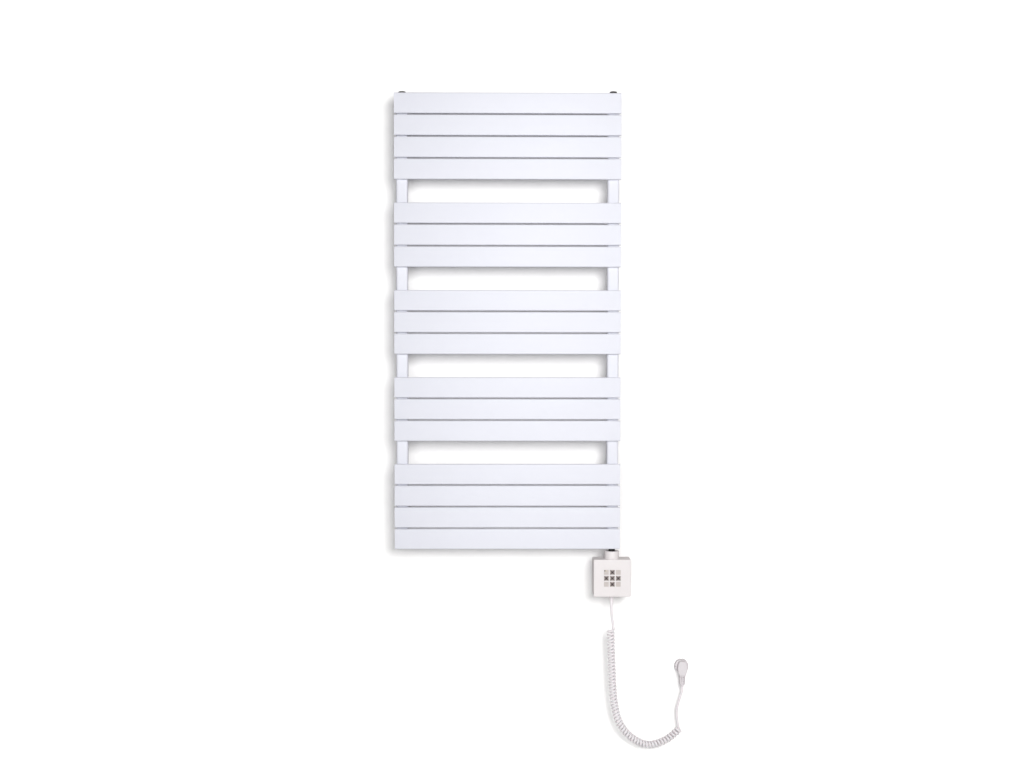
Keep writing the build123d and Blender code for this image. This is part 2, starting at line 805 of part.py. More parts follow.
def make_relief():
    """Rubber entry: flange inside the housing, neck through its floor, tapered sleeve below."""
    inside = (upright_x, upright_middle, housing_bottom_z + housing_wall)
    outside = (upright_x, upright_middle, housing_bottom_z)
    relief = bar(inside, UP, relief_flange_diameter / 2, relief_flange_thickness)
    relief += bar(outside, UP, relief_neck_diameter / 2, housing_wall)
    relief += taper(outside, DOWN, relief_top_diameter / 2, relief_tip_diameter / 2, relief_length)
    tip = (upright_x, upright_middle, relief_end_z)
    through = relief_length + housing_wall + relief_flange_thickness + overshoot
    return relief - bar(tip, UP, (cord_diameter + relief_slack) / 2, through)


def wire(x, y, low, high):
    """Straight upright wire between two heights."""
    return bar((x, y, low), UP, wire_diameter / 2, high - low)


keep("strain_relief", make_relief())
cord_tip = (upright_x, upright_middle, relief_end_z)
jacket_end = bar(cord_tip, UP, cord_diameter / 2, cord_inside_z - relief_end_z)
heater_wires = [wire(upright_x + side * wire_pitch, terminal_y, terminal_top, element_bottom)
                for side in (-1, 1)]
core_places = [(-core_pitch, 0), (0, -core_set_forward), (core_pitch, 0)]
mains_cores = [wire(upright_x + dx, upright_middle + dy, cord_inside_z, terminal_bottom)
               for dx, dy in core_places]
keep("inner_wires", jacket_end, *heater_wires, *mains_cores)


# Mains lead
# The lead leaves the relief, winds in curls along a hanging loop, and rises to the plug.

upper_route = [(upright_x, upright_middle, relief_end_z), (280.5, -59.5, -776.5),
               (282.3, -54.6, -796.3), (286.1, -52.7, -814.8)]
coil_route = [(282.8, -59.0, -829.0), (283.4, -58.9, -872.0), (285.2, -58.6, -925.0),
              (286.8, -58.3, -978.0), (290.0, -57.7, -1028.0), (300.0, -56.0, -1076.0),
              (322.0, -52.1, -1111.0), (353.0, -46.7, -1136.0), (387.0, -40.7, -1148.5),
              (420.0, -34.9, -1141.5), (448.0, -29.9, -1128.0), (470.5, -26.0, -1107.5)]
lower_route = [(466.7, -19.3, -1095.6), (465.0, -19.4, -1081.7), (463.6, -19.8, -1066.5),
               (464.6, -20.3, -1050.5), (468.4, -20.6, -1034.5), (473.6, -20.8, -1019.0),
               (478.0, -20.8, -1004.5), (478.0, -20.8, plug_z - tail_end - tail_tip_length)]


def corner_radii(points):
    """The radius of each corner: 0.45 of the shorter run over the tangent of half the turn."""
    radii = []
    for before, corner, after in zip(points, points[1:], points[2:]):
        run_in = Vector(*corner) - Vector(*before)
        run_out = Vector(*after) - Vector(*corner)
        half_turn = math.radians(run_in.get_angle(run_out)) / 2
        radii.append(0.45 * min(run_in.length, run_out.length) / math.tan(half_turn))
    return radii


def rounded_path(points):
    """Straight runs joined by tangent arcs."""
    return FilletPolyline(*points, radius=corner_radii(points))


def make_lead(name, points):
    """Straight stretch of the lead as a plain tube along its route."""
    path = rounded_path(points)
    start = Vector(*points[0])
    section = Plane(origin=start, z_dir=Vector(*points[1]) - start) * Circle(cord_diameter / 2)
    tube = sweep(section, path=path)
    area = math.pi * cord_diameter ** 2 / 4
    print(name, "radii", [round(radius) for radius in corner_radii(points)],
          "length", round(path.length, 1), "volume over section", round(tube.volume / area, 1))
    return tube


def curl_place(axis, normal, turn):
    """Point of the right-handed curl, turn counted from the coil's top.

    The axis gives the middle and its direction, and the normal of its plane gives the frame.
    """
    share = turn / curl_turns
    middle = axis.position_at(share)
    along = axis.tangent_at(share)
    inward = along.cross(normal).normalized()
    across = along.cross(inward)
    angle = 2 * math.pi * turn
    return middle + (inward * math.cos(angle) + across * math.sin(angle)) * curl_radius


def two_arcs(start, start_way, end, end_way):
    """Two tangent arcs from one point and direction to another."""
    span = end - start
    ways = start_way + end_way
    square = 2 * (1 - start_way.dot(end_way))
    middle = 2 * span.dot(ways)
    reach = (-middle + math.sqrt(middle ** 2 + 4 * square * span.dot(span))) / (2 * square)
    joint = (start + start_way * reach + end - end_way * reach) * 0.5
    first = Edge.make_tangent_arc(start, start_way, joint)
    second = Edge.make_tangent_arc(joint, first % 1, end)
    return [first, second]


def make_coil():
    """The curls: one tube on quarter-turn pairs of arcs, with a straight end at each lead."""
    axis = rounded_path(coil_route)
    top, foot = Vector(*coil_route[0]), Vector(*coil_route[-1])
    normal = Vector(top.Y - foot.Y, foot.X - top.X, 0).normalized()
    step = 0.25
    turns = [step * count for count in range(round(curl_turns / step) + 1)]
    points = [curl_place(axis, normal, turn) for turn in turns]
    nudge = 0.01
    ways = []
    for turn in turns:
        before, after = max(turn - nudge, 0), min(turn + nudge, curl_turns)
        span = curl_place(axis, normal, after) - curl_place(axis, normal, before)
        ways.append(span.normalized())
    first_way = (Vector(*upper_route[-1]) - Vector(*upper_route[-2])).normalized()
    last_way = (Vector(*lower_route[1]) - Vector(*lower_route[0])).normalized()
    first_end = Vector(*upper_route[-1])
    last_end = Vector(*lower_route[0])
    first_joint = first_end + first_way * curl_lead
    last_joint = last_end - last_way * curl_lead
    edges = [Edge.make_line(first_end, first_joint)]
    places = [first_joint] + points + [last_joint]
    headings = [first_way] + ways + [last_way]
    for index in range(len(places) - 1):
        edges += two_arcs(places[index], headings[index], places[index + 1], headings[index + 1])
    edges.append(Edge.make_line(last_joint, last_end))
    path = Wire(edges)
    section = Plane(origin=first_end, z_dir=first_way) * Circle(cord_diameter / 2)
    tube = sweep(section, path=path)
    report_coil(axis, edges, path, tube)
    return tube


def report_coil(axis, edges, path, tube):
    """Print the coil's length, its smallest radius and its least gap to itself."""
    radii = [edge.radius for edge in edges if edge.geom_type == GeomType.CIRCLE]
    samples = [edge @ share for edge in edges for share in (0.0, 0.25, 0.5, 0.75)]
    samples_per_turn = 32
    apart, reach = samples_per_turn // 2, 3 * samples_per_turn
    gap = min((samples[i] - samples[j]).length
              for i in range(len(samples)) for j in range(i + apart, min(i + reach, len(samples))))
    area = math.pi * cord_diameter ** 2 / 4
    print("coil axis", round(axis.length, 1), "length", round(path.length, 1),
          "volume over section", round(tube.volume / area, 1), "least radius", round(min(radii), 2),
          "lead-in radii", [round(radius, 1) for radius in radii[:2] + radii[-2:]],
          "least gap", round(gap - cord_diameter, 2))


keep("cord_upper", make_lead("cord_upper", upper_route))
keep("cord_coil", make_coil())
keep("cord_lower", make_lead("cord_lower", lower_route))


# Plug

plug_back = -plug_wall_gap
plug_base_front = plug_back - plug_base_depth
hump_front = plug_base_front - hump_depth
cord_y = lower_route[-1][1]


def hump_outline():
    """The plug's front view: narrow top, straight sides, and a waist down to the tail."""
    right = [(hump_top_width / 2, hump_top), (hump_width / 2, hump_shoulder),
             (hump_width / 2, -hump_foot), (tail_top_width / 2, -hump_end)]
    left = [(-x, z) for x, z in reversed(right)]
    return make_face(Polyline(*right, *left, close=True))


def make_tail():
    """Flexible tail: tapered block with rows of slots and a round tip."""
    top = Plane(origin=(0, cord_y, -hump_foot), z_dir=DOWN)
    end = Plane(origin=(0, cord_y, -tail_end), z_dir=DOWN)
    tail = loft([top * RectangleRounded(tail_top_width, tail_depth, tail_corner),
                 end * RectangleRounded(tail_end_width, tail_depth, tail_corner)])
    tail += bar((0, cord_y, -tail_end), DOWN, tail_tip_diameter / 2, tail_tip_length)
    for row in range(tail_slot_rows):
        z = -tail_end + tail_slot_height + row * tail_slot_pitch
        column = (tail_slot_width + tail_slot_rib) / 2
        for x in (-column, column):
            for side in (-1, 1):
                y = cord_y + side * (tail_depth / 2)
                slot = Box(tail_slot_width, 2 * tail_slot_depth, tail_slot_height)
                tail -= Pos(x, y, z) * slot
    return tail


def make_plug_body():
    """Moulded body: round base with grooves and recesses, hump, and slotted tail."""
    body = bar((0, plug_back, 0), TO_FRONT, plug_base_diameter / 2, plug_base_depth)
    body = chamfer(body.edges().filter_by(GeomType.CIRCLE).sort_by(Axis.Y)[:1], plug_base_edge)
    hump = facing(0, 0, plug_base_front + overshoot, hump_front, hump_outline())
    hump = fillet(hump.edges().group_by(Axis.Y)[0], hump_edge)
    body += hump
    body += make_tail()
    reach = plug_base_diameter / 2
    for side in (-1, 1):
        edge = side * (reach - plug_side_groove_depth)
        groove = plug_side_groove_width / 2
        body -= block((min(edge, side * reach * 2), plug_base_front - overshoot, -groove),
                      (max(edge, side * reach * 2), plug_back + overshoot, groove))
        floor = side * (reach - clip_recess_depth)
        recess = clip_width / 2 + clip_side_gap
        body -= block((-recess, plug_base_front + clip_end_gap, min(floor, side * reach * 2)),
                      (recess, plug_back + overshoot, max(floor, side * reach * 2)))
        mouth = (side * pin_spacing / 2, plug_back + overshoot, 0)
        body -= bar(mouth, TO_FRONT, pin_neck_diameter / 2, pin_root + overshoot)
    return body


def make_pin(side):
    """Round contact pin with a rounded tip and a thinner neck, rooted in the body."""
    shoulder = (side * pin_spacing / 2, plug_back + pin_neck_proud, 0)
    pin = bar(shoulder, TO_WALL, pin_diameter / 2, pin_length - pin_neck_proud)
    tip = pin.edges().filter_by(GeomType.CIRCLE).sort_by(Axis.Y)[-1:]
    pin = fillet(tip, pin_tip_round)
    return pin + bar(shoulder, TO_FRONT, pin_neck_diameter / 2, pin_neck_proud + pin_root)


def make_earth_clip(side):
    """Flat earth contact in its recess in the rim of the base."""
    floor = plug_base_diameter / 2 - clip_recess_depth
    low, high = sorted((side * floor, side * (floor + clip_thickness)))
    return block((-clip_width / 2, plug_base_front + clip_end_gap, low), (clip_width / 2, plug_back, high))


at_plug = Pos(plug_x, 0, plug_z)
keep("plug_body", at_plug * make_plug_body())
keep("plug_pins", *[at_plug * make_pin(side) for side in (-1, 1)])
keep("plug_earth_clips", *[at_plug * make_earth_clip(side) for side in (-1, 1)])


for name, solids in nodes.items():
    export_step(solids[0] if len(solids) == 1 else Compound(solids), f"parts/{name}.step")
print(len(nodes), "nodes")
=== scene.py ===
import json
import logging
import math
from dataclasses import dataclass
from enum import Enum
from typing import Iterable, Sequence

import bmesh
import bpy
import numpy as np
from mathutils import Matrix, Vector
from numpy.typing import NDArray

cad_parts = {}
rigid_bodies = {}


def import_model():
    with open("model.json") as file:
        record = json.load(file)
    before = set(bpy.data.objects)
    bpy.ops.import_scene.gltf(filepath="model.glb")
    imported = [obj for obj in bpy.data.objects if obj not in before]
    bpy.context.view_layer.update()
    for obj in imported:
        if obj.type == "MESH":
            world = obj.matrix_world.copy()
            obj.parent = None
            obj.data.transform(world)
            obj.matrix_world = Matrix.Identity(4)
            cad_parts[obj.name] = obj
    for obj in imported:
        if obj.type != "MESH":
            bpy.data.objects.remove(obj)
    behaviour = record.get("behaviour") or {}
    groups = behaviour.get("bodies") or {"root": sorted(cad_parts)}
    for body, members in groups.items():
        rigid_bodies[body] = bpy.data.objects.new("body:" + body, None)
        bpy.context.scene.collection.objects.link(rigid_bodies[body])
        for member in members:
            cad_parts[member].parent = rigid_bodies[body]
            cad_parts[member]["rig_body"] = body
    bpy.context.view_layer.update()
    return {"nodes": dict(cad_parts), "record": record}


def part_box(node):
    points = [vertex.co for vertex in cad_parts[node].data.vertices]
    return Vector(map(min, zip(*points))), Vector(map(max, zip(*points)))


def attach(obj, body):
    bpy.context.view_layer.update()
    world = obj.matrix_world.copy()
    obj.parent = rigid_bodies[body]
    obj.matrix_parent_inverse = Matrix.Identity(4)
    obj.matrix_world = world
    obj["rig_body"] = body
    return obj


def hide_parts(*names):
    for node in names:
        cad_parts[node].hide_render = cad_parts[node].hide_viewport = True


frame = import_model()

Array = NDArray[np.float64]
Point = tuple[float, float, float]
Profile = list[tuple[float, float]]
Socket = bpy.types.NodeSocket
Tree = bpy.types.NodeTree
log = logging.getLogger("towel_rail")

RAIL = "rail"
SLATS = tuple(f"slat_{number:02d}" for number in range(1, 18))
MERGE_DISTANCE = 1e-6
FLAT_DEGREES = 0.3


class Direction(Enum):
    """Ways a turned part can point: where its own X, Y and height run in the frame."""

    UP = ((1, 0, 0), (0, 1, 0), (0, 0, 1))
    DOWN = ((1, 0, 0), (0, -1, 0), (0, 0, -1))
    FRONT = ((1, 0, 0), (0, 0, 1), (0, -1, 0))
    WALL = ((1, 0, 0), (0, 0, -1), (0, 1, 0))


class Grain(Enum):
    """Kinds of fine texture, each with the detail of its noise."""

    DOTS = 0.0
    ORANGE_PEEL = 1.0
    BRUSHED = 2.0
    FINE_MOULD = 4.0


def feed(node: bpy.types.Node, **sockets: float | Sequence[float] | Socket) -> None:
    """Give sockets of a shader node their values or their links.

    Args:
        node: The node.
        sockets: A value or another node's output for each socket, underscores for spaces.
    """
    for name, value in sockets.items():
        socket = node.inputs[name.replace("_", " ")]
        if isinstance(value, Socket):
            node.id_data.links.new(value, socket)
        else:
            socket.default_value = value


def noise(tree: Tree, place: Socket, scale: float, detail: float) -> Socket:
    """Add a noise.

    Args:
        tree: The nodes that it is added to.
        place: Coordinates that it reads.
        scale: Its scale.
        detail: Its number of finer layers.

    Returns:
        Its value.
    """
    made = tree.nodes.new("ShaderNodeTexNoise")
    feed(made, Vector=place, Scale=scale, Detail=detail)
    return made.outputs["Fac"]


def remap(tree: Tree, value: Socket, source: tuple[float, float],
          target: tuple[float, float]) -> Socket:
    """Carry a value from one range to another.

    Args:
        tree: The nodes that it is added to.
        value: The value, held at the ends of its range.
        source: Lowest and highest value that comes in.
        target: What these two become.

    Returns:
        The new value.
    """
    spread = tree.nodes.new("ShaderNodeMapRange")
    feed(spread, Value=value, From_Min=source[0], From_Max=source[1], To_Min=target[0],
         To_Max=target[1])
    return spread.outputs["Result"]


def mixed_colour(tree: Tree, share: Socket, first: Point, second: Point | Socket) -> Socket:
    """Mix two colours.

    Args:
        tree: The nodes that it is added to.
        share: Share of the second colour.
        first: First colour, linear.
        second: Second colour, or the output that gives it.

    Returns:
        The mixed colour.
    """
    mix = tree.nodes.new("ShaderNodeMix")
    mix.data_type = "RGBA"
    feed(mix, Factor=share, A=(*first, 1.0),
         B=second if isinstance(second, Socket) else (*second, 1.0))
    return mix.outputs["Result"]


def mixed_shader(tree: Tree, share: Socket, first: Socket, second: Socket) -> Socket:
    """Mix two shaders.

    Args:
        tree: The nodes that it is added to.
        share: Share of the second shader.
        first: First shader.
        second: Second shader.

    Returns:
        The mixed shader.
    """
    mix = tree.nodes.new("ShaderNodeMixShader")
    for number, source in enumerate((share, first, second)):
        tree.links.new(source, mix.inputs[number])
    return mix.outputs["Shader"]


@dataclass(frozen=True)
class Finish:
    """One surface finish, built as a procedural material on Object coordinates.

    Attributes:
        slot: The record's material slot.
        colour: Main colour, linear.
        tint: Second colour, mixed in by a broad noise.
        roughness: Lowest and highest roughness, carried by the same noise.
        metallic: 1 for bare metal.
        grain: Kind of fine texture.
        grain_size: Size of one grain in metres.
        grain_depth: Height of the texture in metres.
        mottle_size: Size of the broad colour patches in metres.
        gloss: Level of the plain reflection, 0.5 for a common plastic.
        soft: Subsurface weight.
        variant: Name of a second finish in the same slot.
    """

    slot: str
    colour: Point
    tint: Point
    roughness: tuple[float, float] = (0.35, 0.45)
    metallic: float = 0.0
    grain: Grain = Grain.FINE_MOULD
    grain_size: float = 0.0004
    grain_depth: float = 0.00002
    mottle_size: float = 0.06
    gloss: float = 0.5
    soft: float = 0.0
    variant: str = ""

    def material(self) -> bpy.types.Material:
        """Return this finish's material, made on its first use.

        Returns:
            The material named after the finish.
        """
        name = (self.variant or self.slot) + "_finish"
        known = bpy.data.materials.get(name)
        if known is not None:
            return known
        made = bpy.data.materials.new(name)
        made.use_nodes = True
        made.diffuse_color = (*self.colour, 1.0)
        tree = made.node_tree
        place = tree.nodes.new("ShaderNodeTexCoord").outputs["Object"]
        patches = noise(tree, place, 1 / self.mottle_size, 3.0)
        bump = tree.nodes.new("ShaderNodeBump")
        feed(bump, Strength=0.5, Distance=self.grain_depth, Height=self.texture(tree, place))
        feed(tree.nodes["Principled BSDF"], Metallic=self.metallic, Specular_IOR_Level=self.gloss,
             Subsurface_Weight=self.soft, Subsurface_Radius=(0.003, 0.002, 0.002),
             Base_Color=mixed_colour(tree, patches, self.colour, self.tint),
             Roughness=remap(tree, patches, (0.3, 0.7), self.roughness),
             Normal=bump.outputs["Normal"])
        return made

    def texture(self, tree: Tree, place: Socket) -> Socket:
        """Height of the fine texture: round dots, or a noise that is drawn out when brushed.

        Args:
            tree: The material's nodes.
            place: Object coordinates.

        Returns:
            The height, from 0 to 1.
        """
        scale = 1 / self.grain_size
        if self.grain is Grain.DOTS:
            dots = tree.nodes.new("ShaderNodeTexVoronoi")
            feed(dots, Vector=place, Scale=scale, Randomness=0.35)
            return dots.outputs["Distance"]
        if self.grain is Grain.BRUSHED:
            stretch = tree.nodes.new("ShaderNodeMapping")
            feed(stretch, Vector=place, Scale=(1.0, 1.0, 0.06))
            place = stretch.outputs["Vector"]
        return noise(tree, place, scale, self.grain.value)


SATIN_WHITE = Finish("painted", (0.72, 0.73, 0.80), (0.74, 0.75, 0.815), (0.5, 0.56),
                     grain=Grain.ORANGE_PEEL, grain_size=0.0016, grain_depth=0.00003,
                     gloss=0.22)
BRACKET_WHITE = Finish("bracket_paint", (0.79, 0.79, 0.80), (0.83, 0.83, 0.84), (0.3, 0.4),
                       grain=Grain.ORANGE_PEEL, grain_size=0.0012, grain_depth=0.00003)
BRACKET_PLASTIC = Finish("bracket_plastic", (0.76, 0.76, 0.75), (0.8, 0.8, 0.79), (0.4, 0.52))
ZINC = Finish("steel", (0.62, 0.62, 0.63), (0.7, 0.69, 0.66), (0.25, 0.4), 1.0, Grain.BRUSHED)
CHROME = Finish("plug_chrome", (0.78, 0.78, 0.79), (0.82, 0.82, 0.83), (0.06, 0.14), 1.0,
                Grain.BRUSHED, grain_depth=0.000006)
VENT_WHITE = Finish("vent_plastic", (0.8, 0.8, 0.77), (0.84, 0.84, 0.81), (0.35, 0.45))
RUBBER = Finish("black_rubber", (0.014, 0.014, 0.015), (0.03, 0.03, 0.032), (0.55, 0.7))
# Near-black colour for the element's stem in the gap below the rail.
NEAR_BLACK_STEM = Finish("element_metal", (0.008, 0.007, 0.007), (0.016, 0.014, 0.013), (0.45, 0.6),
                     0.2, Grain.BRUSHED)
SHEATH = Finish("sheath", (0.42, 0.4, 0.38), (0.5, 0.48, 0.44), (0.3, 0.45), 1.0, Grain.BRUSHED)
HOUSING = Finish("housing_plastic", (0.75, 0.715, 0.72), (0.765, 0.73, 0.735), (0.4, 0.46),
                 grain_size=0.0005, grain_depth=0.000025)
KEY_TOP = Finish("key_plastic", (0.36, 0.31, 0.30), (0.42, 0.365, 0.35), (0.4, 0.5),
                 mottle_size=0.006)
KEY_MARK = Finish("key_plastic", (0.075, 0.057, 0.055), (0.1, 0.078, 0.075), (0.5, 0.6),
                  mottle_size=0.004, variant="key_star")
KEY_DOT = Finish("key_plastic", (0.016, 0.011, 0.011), (0.026, 0.019, 0.019), (0.5, 0.65),
                 mottle_size=0.003, variant="key_dot")
WINDOW = Finish("window_plastic", (0.52, 0.465, 0.45), (0.6, 0.55, 0.53), (0.3, 0.4),
                grain=Grain.DOTS, grain_size=0.0009, grain_depth=0.00006,
                mottle_size=0.003)
LENS = Finish("lens_plastic", (0.006, 0.005, 0.006), (0.012, 0.009, 0.01), (0.25, 0.35), gloss=0.3)
PILOT = Finish("lens_plastic", (0.78, 0.66, 0.3), (0.85, 0.76, 0.42), (0.2, 0.3),
               variant="pilot_amber")
BOARD = Finish("board", (0.012, 0.09, 0.035), (0.02, 0.13, 0.05), (0.25, 0.4))
COMPONENTS = Finish("component_plastic", (0.02, 0.02, 0.024), (0.05, 0.05, 0.055), (0.4, 0.55))
SWITCHES = Finish("switch_plastic", (0.03, 0.03, 0.03), (0.06, 0.06, 0.06), (0.35, 0.5))
TERMINALS = Finish("terminal_plastic", (0.05, 0.2, 0.09), (0.07, 0.25, 0.11), (0.4, 0.5))
WIRES = Finish("wire_insulation", (0.6, 0.55, 0.5), (0.7, 0.66, 0.6), (0.4, 0.5))
JACKET = Finish("cord_rubber", (0.83, 0.79, 0.82), (0.86, 0.83, 0.855), (0.4, 0.5),
                grain_size=0.0006, grain_depth=0.00002, mottle_size=0.02, soft=0.1)
PLUG_WHITE = Finish("plug_plastic", (0.71, 0.675, 0.70), (0.735, 0.7, 0.725), (0.4, 0.5),
                    grain_size=0.0005, grain_depth=0.00003, mottle_size=0.02)
NICKEL = Finish("pin_metal", (0.68, 0.66, 0.62), (0.75, 0.73, 0.69), (0.15, 0.25), 1.0,
                Grain.BRUSHED)
FINISHES = (SATIN_WHITE, BRACKET_WHITE, BRACKET_PLASTIC, ZINC, CHROME, VENT_WHITE, RUBBER,
            NEAR_BLACK_STEM, SHEATH, HOUSING, KEY_TOP, WINDOW, LENS, BOARD, COMPONENTS, SWITCHES,
            TERMINALS, WIRES, JACKET, PLUG_WHITE, NICKEL)


def quarter_turn(count: int) -> Array:
    """Angles of a quarter turn, both ends included."""
    return np.linspace(0.0, np.pi / 2, count)


def full_turn(count: int) -> Array:
    """Angles of a full turn, its end left out."""
    return np.linspace(0.0, 2 * np.pi, count, endpoint=False)


def corners(node: str) -> tuple[Array, Array]:
    """Lowest and highest corner of a CAD node's box."""
    low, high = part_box(node)
    return np.array(low), np.array(high)


def rounded_loop(width: float, depth: float, radius: float, per_corner: int = 7) -> Array:
    """Rounded rectangle: each corner's centre plus its radius turned through a quarter.

    Args:
        width: Size along the first axis.
        depth: Size along the second axis.
        radius: Corner radius.
        per_corner: Points in each corner.

    Returns:
        The loop's points, (n, 2), anticlockwise.
    """
    angles = (quarter_turn(per_corner) + np.arange(4)[:, None] * np.pi / 2).ravel()
    signs = np.array([[1, 1], [-1, 1], [-1, -1], [1, -1]], float)
    centres = np.repeat(signs * (width / 2 - radius, depth / 2 - radius), per_corner, axis=0)
    return centres + radius * np.stack([np.cos(angles), np.sin(angles)], axis=1)


def capped(rows: Array) -> Array:
    """Close a grid's two ends by a row drawn together at the end row's own middle.

    Args:
        rows: Grid of points, (rows, columns, 3).

    Returns:
        The grid with one row more at each end.
    """
    first, last = (np.broadcast_to(rows[end].mean(axis=0), rows[end].shape) for end in (0, -1))
    return np.concatenate([first[None], rows, last[None]])


def lathe(profile: Sequence[tuple[float, float]], start: Sequence[float],
          direction: Direction, segments: int = 64, ring: bool = False) -> Array:
    """Turned surface: each (radius, height) of the profile swept round the axis.

    Args:
        profile: Pairs of radius and height along the axis.
        start: Point on the axis at height zero.
        direction: Way the height runs.
        segments: Points round the axis.
        ring: True to join the last pair to the first, for a part with a bore.

    Returns:
        Grid of points, (pairs, segments, 3).
    """
    pairs = np.array(profile, float)
    if ring:
        pairs = np.concatenate([pairs, pairs[:1]])
    angles = full_turn(segments)
    radius, height = pairs[:, :1], pairs[:, 1:]
    local = np.stack([radius * np.cos(angles), radius * np.sin(angles),
                      np.broadcast_to(height, (len(pairs), segments))], axis=-1)
    return local @ np.array(direction.value, float) + np.array(start, float)


def eased_rim(radius: float, height: float, easing: float, steps: int = 5) -> Profile:
    """Quarter round at a turned part's outer rim, from its side to its top face.

    Args:
        radius: Radius of the part.
        height: Height of its top face.
        easing: Radius of the round.
        steps: Number of points.

    Returns:
        Pairs of radius and height.
    """
    turn = quarter_turn(steps)
    return list(zip(radius - easing + easing * np.cos(turn),
                    height - easing + easing * np.sin(turn)))


def low_dome(radius: float, foot: float, rise: float) -> Profile:
    """Profile of a disc with a quarter ellipse on it.

    Args:
        radius: Radius of the disc.
        foot: Thickness of the disc.
        rise: Height of the ellipse above it.

    Returns:
        Pairs of radius and height.
    """
    turn = quarter_turn(6)
    return [(0.0, 0.0), (radius, 0.0), *zip(radius * np.cos(turn), foot + rise * np.sin(turn))]


def grid_faces(rows: int, columns: int) -> NDArray[np.int64]:
    """Quads of a grid whose columns run right round.

    Args:
        rows: Number of rows.
        columns: Number of columns.

    Returns:
        Four point numbers for each quad, (n, 4).
    """
    i, j = np.meshgrid(np.arange(rows - 1), np.arange(columns), indexing="ij")
    after = (j + 1) % columns
    quads = [i * columns + j, i * columns + after, (i + 1) * columns + after,
             (i + 1) * columns + j]
    return np.stack(quads, axis=-1).reshape(-1, 4)


def finish_mesh(mesh: bpy.types.Mesh, crease: float, new_surface: bool) -> None:
    """Merge doubled points and smooth all but the sharp edges.

    A new surface also has its faces turned outwards. A copy of a CAD mesh already points the
    right way, and has its flat triangles joined instead.

    Args:
        mesh: The mesh, changed in place.
        crease: Angle in degrees above which an edge stays sharp.
        new_surface: True for a new surface, False for a copy of a CAD mesh.
    """
    work = bmesh.new()
    work.from_mesh(mesh)
    bmesh.ops.remove_doubles(work, verts=work.verts, dist=MERGE_DISTANCE)
    if new_surface:
        bmesh.ops.recalc_face_normals(work, faces=work.faces)
    else:
        bmesh.ops.dissolve_limit(work, angle_limit=math.radians(FLAT_DEGREES),
                                 verts=work.verts, edges=work.edges)
    work.to_mesh(mesh)
    work.free()
    mesh.polygons.foreach_set("use_smooth", np.ones(len(mesh.polygons), bool))
    mesh.set_sharp_from_angle(angle=math.radians(crease))
    mesh.update()


def linked(name: str, data: bpy.types.ID) -> bpy.types.Object:
    """Make an object and link it to the scene.

    Args:
        name: Its name.
        data: Its mesh, curve, camera or light.

    Returns:
        The new object.
    """
    made = bpy.data.objects.new(name, data)
    bpy.context.scene.collection.objects.link(made)
    return made


def add_piece(name: str, data: bpy.types.Mesh | bpy.types.Curve, finish: Finish, body: str,
              stands_for: Iterable[str]) -> bpy.types.Object:
    """Dress a shape, link it as a piece and set it on its body.

    Args:
        name: The piece's name.
        data: Its mesh or curve.
        finish: Its finish.
        body: The CAD body that it moves with.
        stands_for: CAD nodes that it replaces.

    Returns:
        The new object.
    """
    piece = linked(name, data)
    data.materials.clear()
    data.materials.append(finish.material())
    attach(piece, body)
    nodes = tuple(stands_for)
    if nodes:
        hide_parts(*nodes)
    log.info("%s: %s, on %s", name, finish.slot, body)
    return piece


def make_piece(name: str, sheets: Iterable[Array], finish: Finish, body: str = RAIL,
               stands_for: Iterable[str] = (), crease: float = 35.0) -> bpy.types.Object:
    """Make one piece from closed grid surfaces.

    Args:
        name: The piece's name.
        sheets: Grids of points, (rows, columns, 3), whose columns run right round.
        finish: Its finish.
        body: The CAD body that it moves with.
        stands_for: CAD nodes that it replaces.
        crease: Angle in degrees above which an edge stays sharp.

    Returns:
        The new object.
    """
    grids = list(sheets)
    counts = np.cumsum([0] + [grid.shape[0] * grid.shape[1] for grid in grids])
    faces = [grid_faces(*grid.shape[:2]) + start for grid, start in zip(grids, counts)]
    points = np.concatenate([grid.reshape(-1, 3) for grid in grids])
    mesh = bpy.data.meshes.new(name)
    mesh.from_pydata(points.tolist(), [], np.concatenate(faces).tolist())
    finish_mesh(mesh, crease, new_surface=True)
    return add_piece(name, mesh, finish, body, stands_for)


def polished_copy(node: str, name: str, finish: Finish, easing: float = 0.0002,
                  crease: float = 30.0) -> bpy.types.Object:
    """Make a merged copy of a CAD node with smooth rounds and slightly eased edges.

    Args:
        node: The CAD node that the copy stands for.
        name: The piece's name.
        finish: Its finish.
        easing: Width of the eased edges in metres, 0 for none.
        crease: Angle in degrees above which an edge is an edge.

    Returns:
        The new object.
    """
    source = frame["nodes"][node]
    mesh = source.data.copy()
    finish_mesh(mesh, crease, new_surface=False)
    piece = add_piece(name, mesh, finish, source["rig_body"], (node,))
    if easing:
        bevel = piece.modifiers.new("eased_edges", "BEVEL")
        bevel.width = easing
        bevel.segments = 2
        bevel.limit_method = "ANGLE"
        bevel.angle_limit = math.radians(crease)
        bevel.harden_normals = True
    return piece


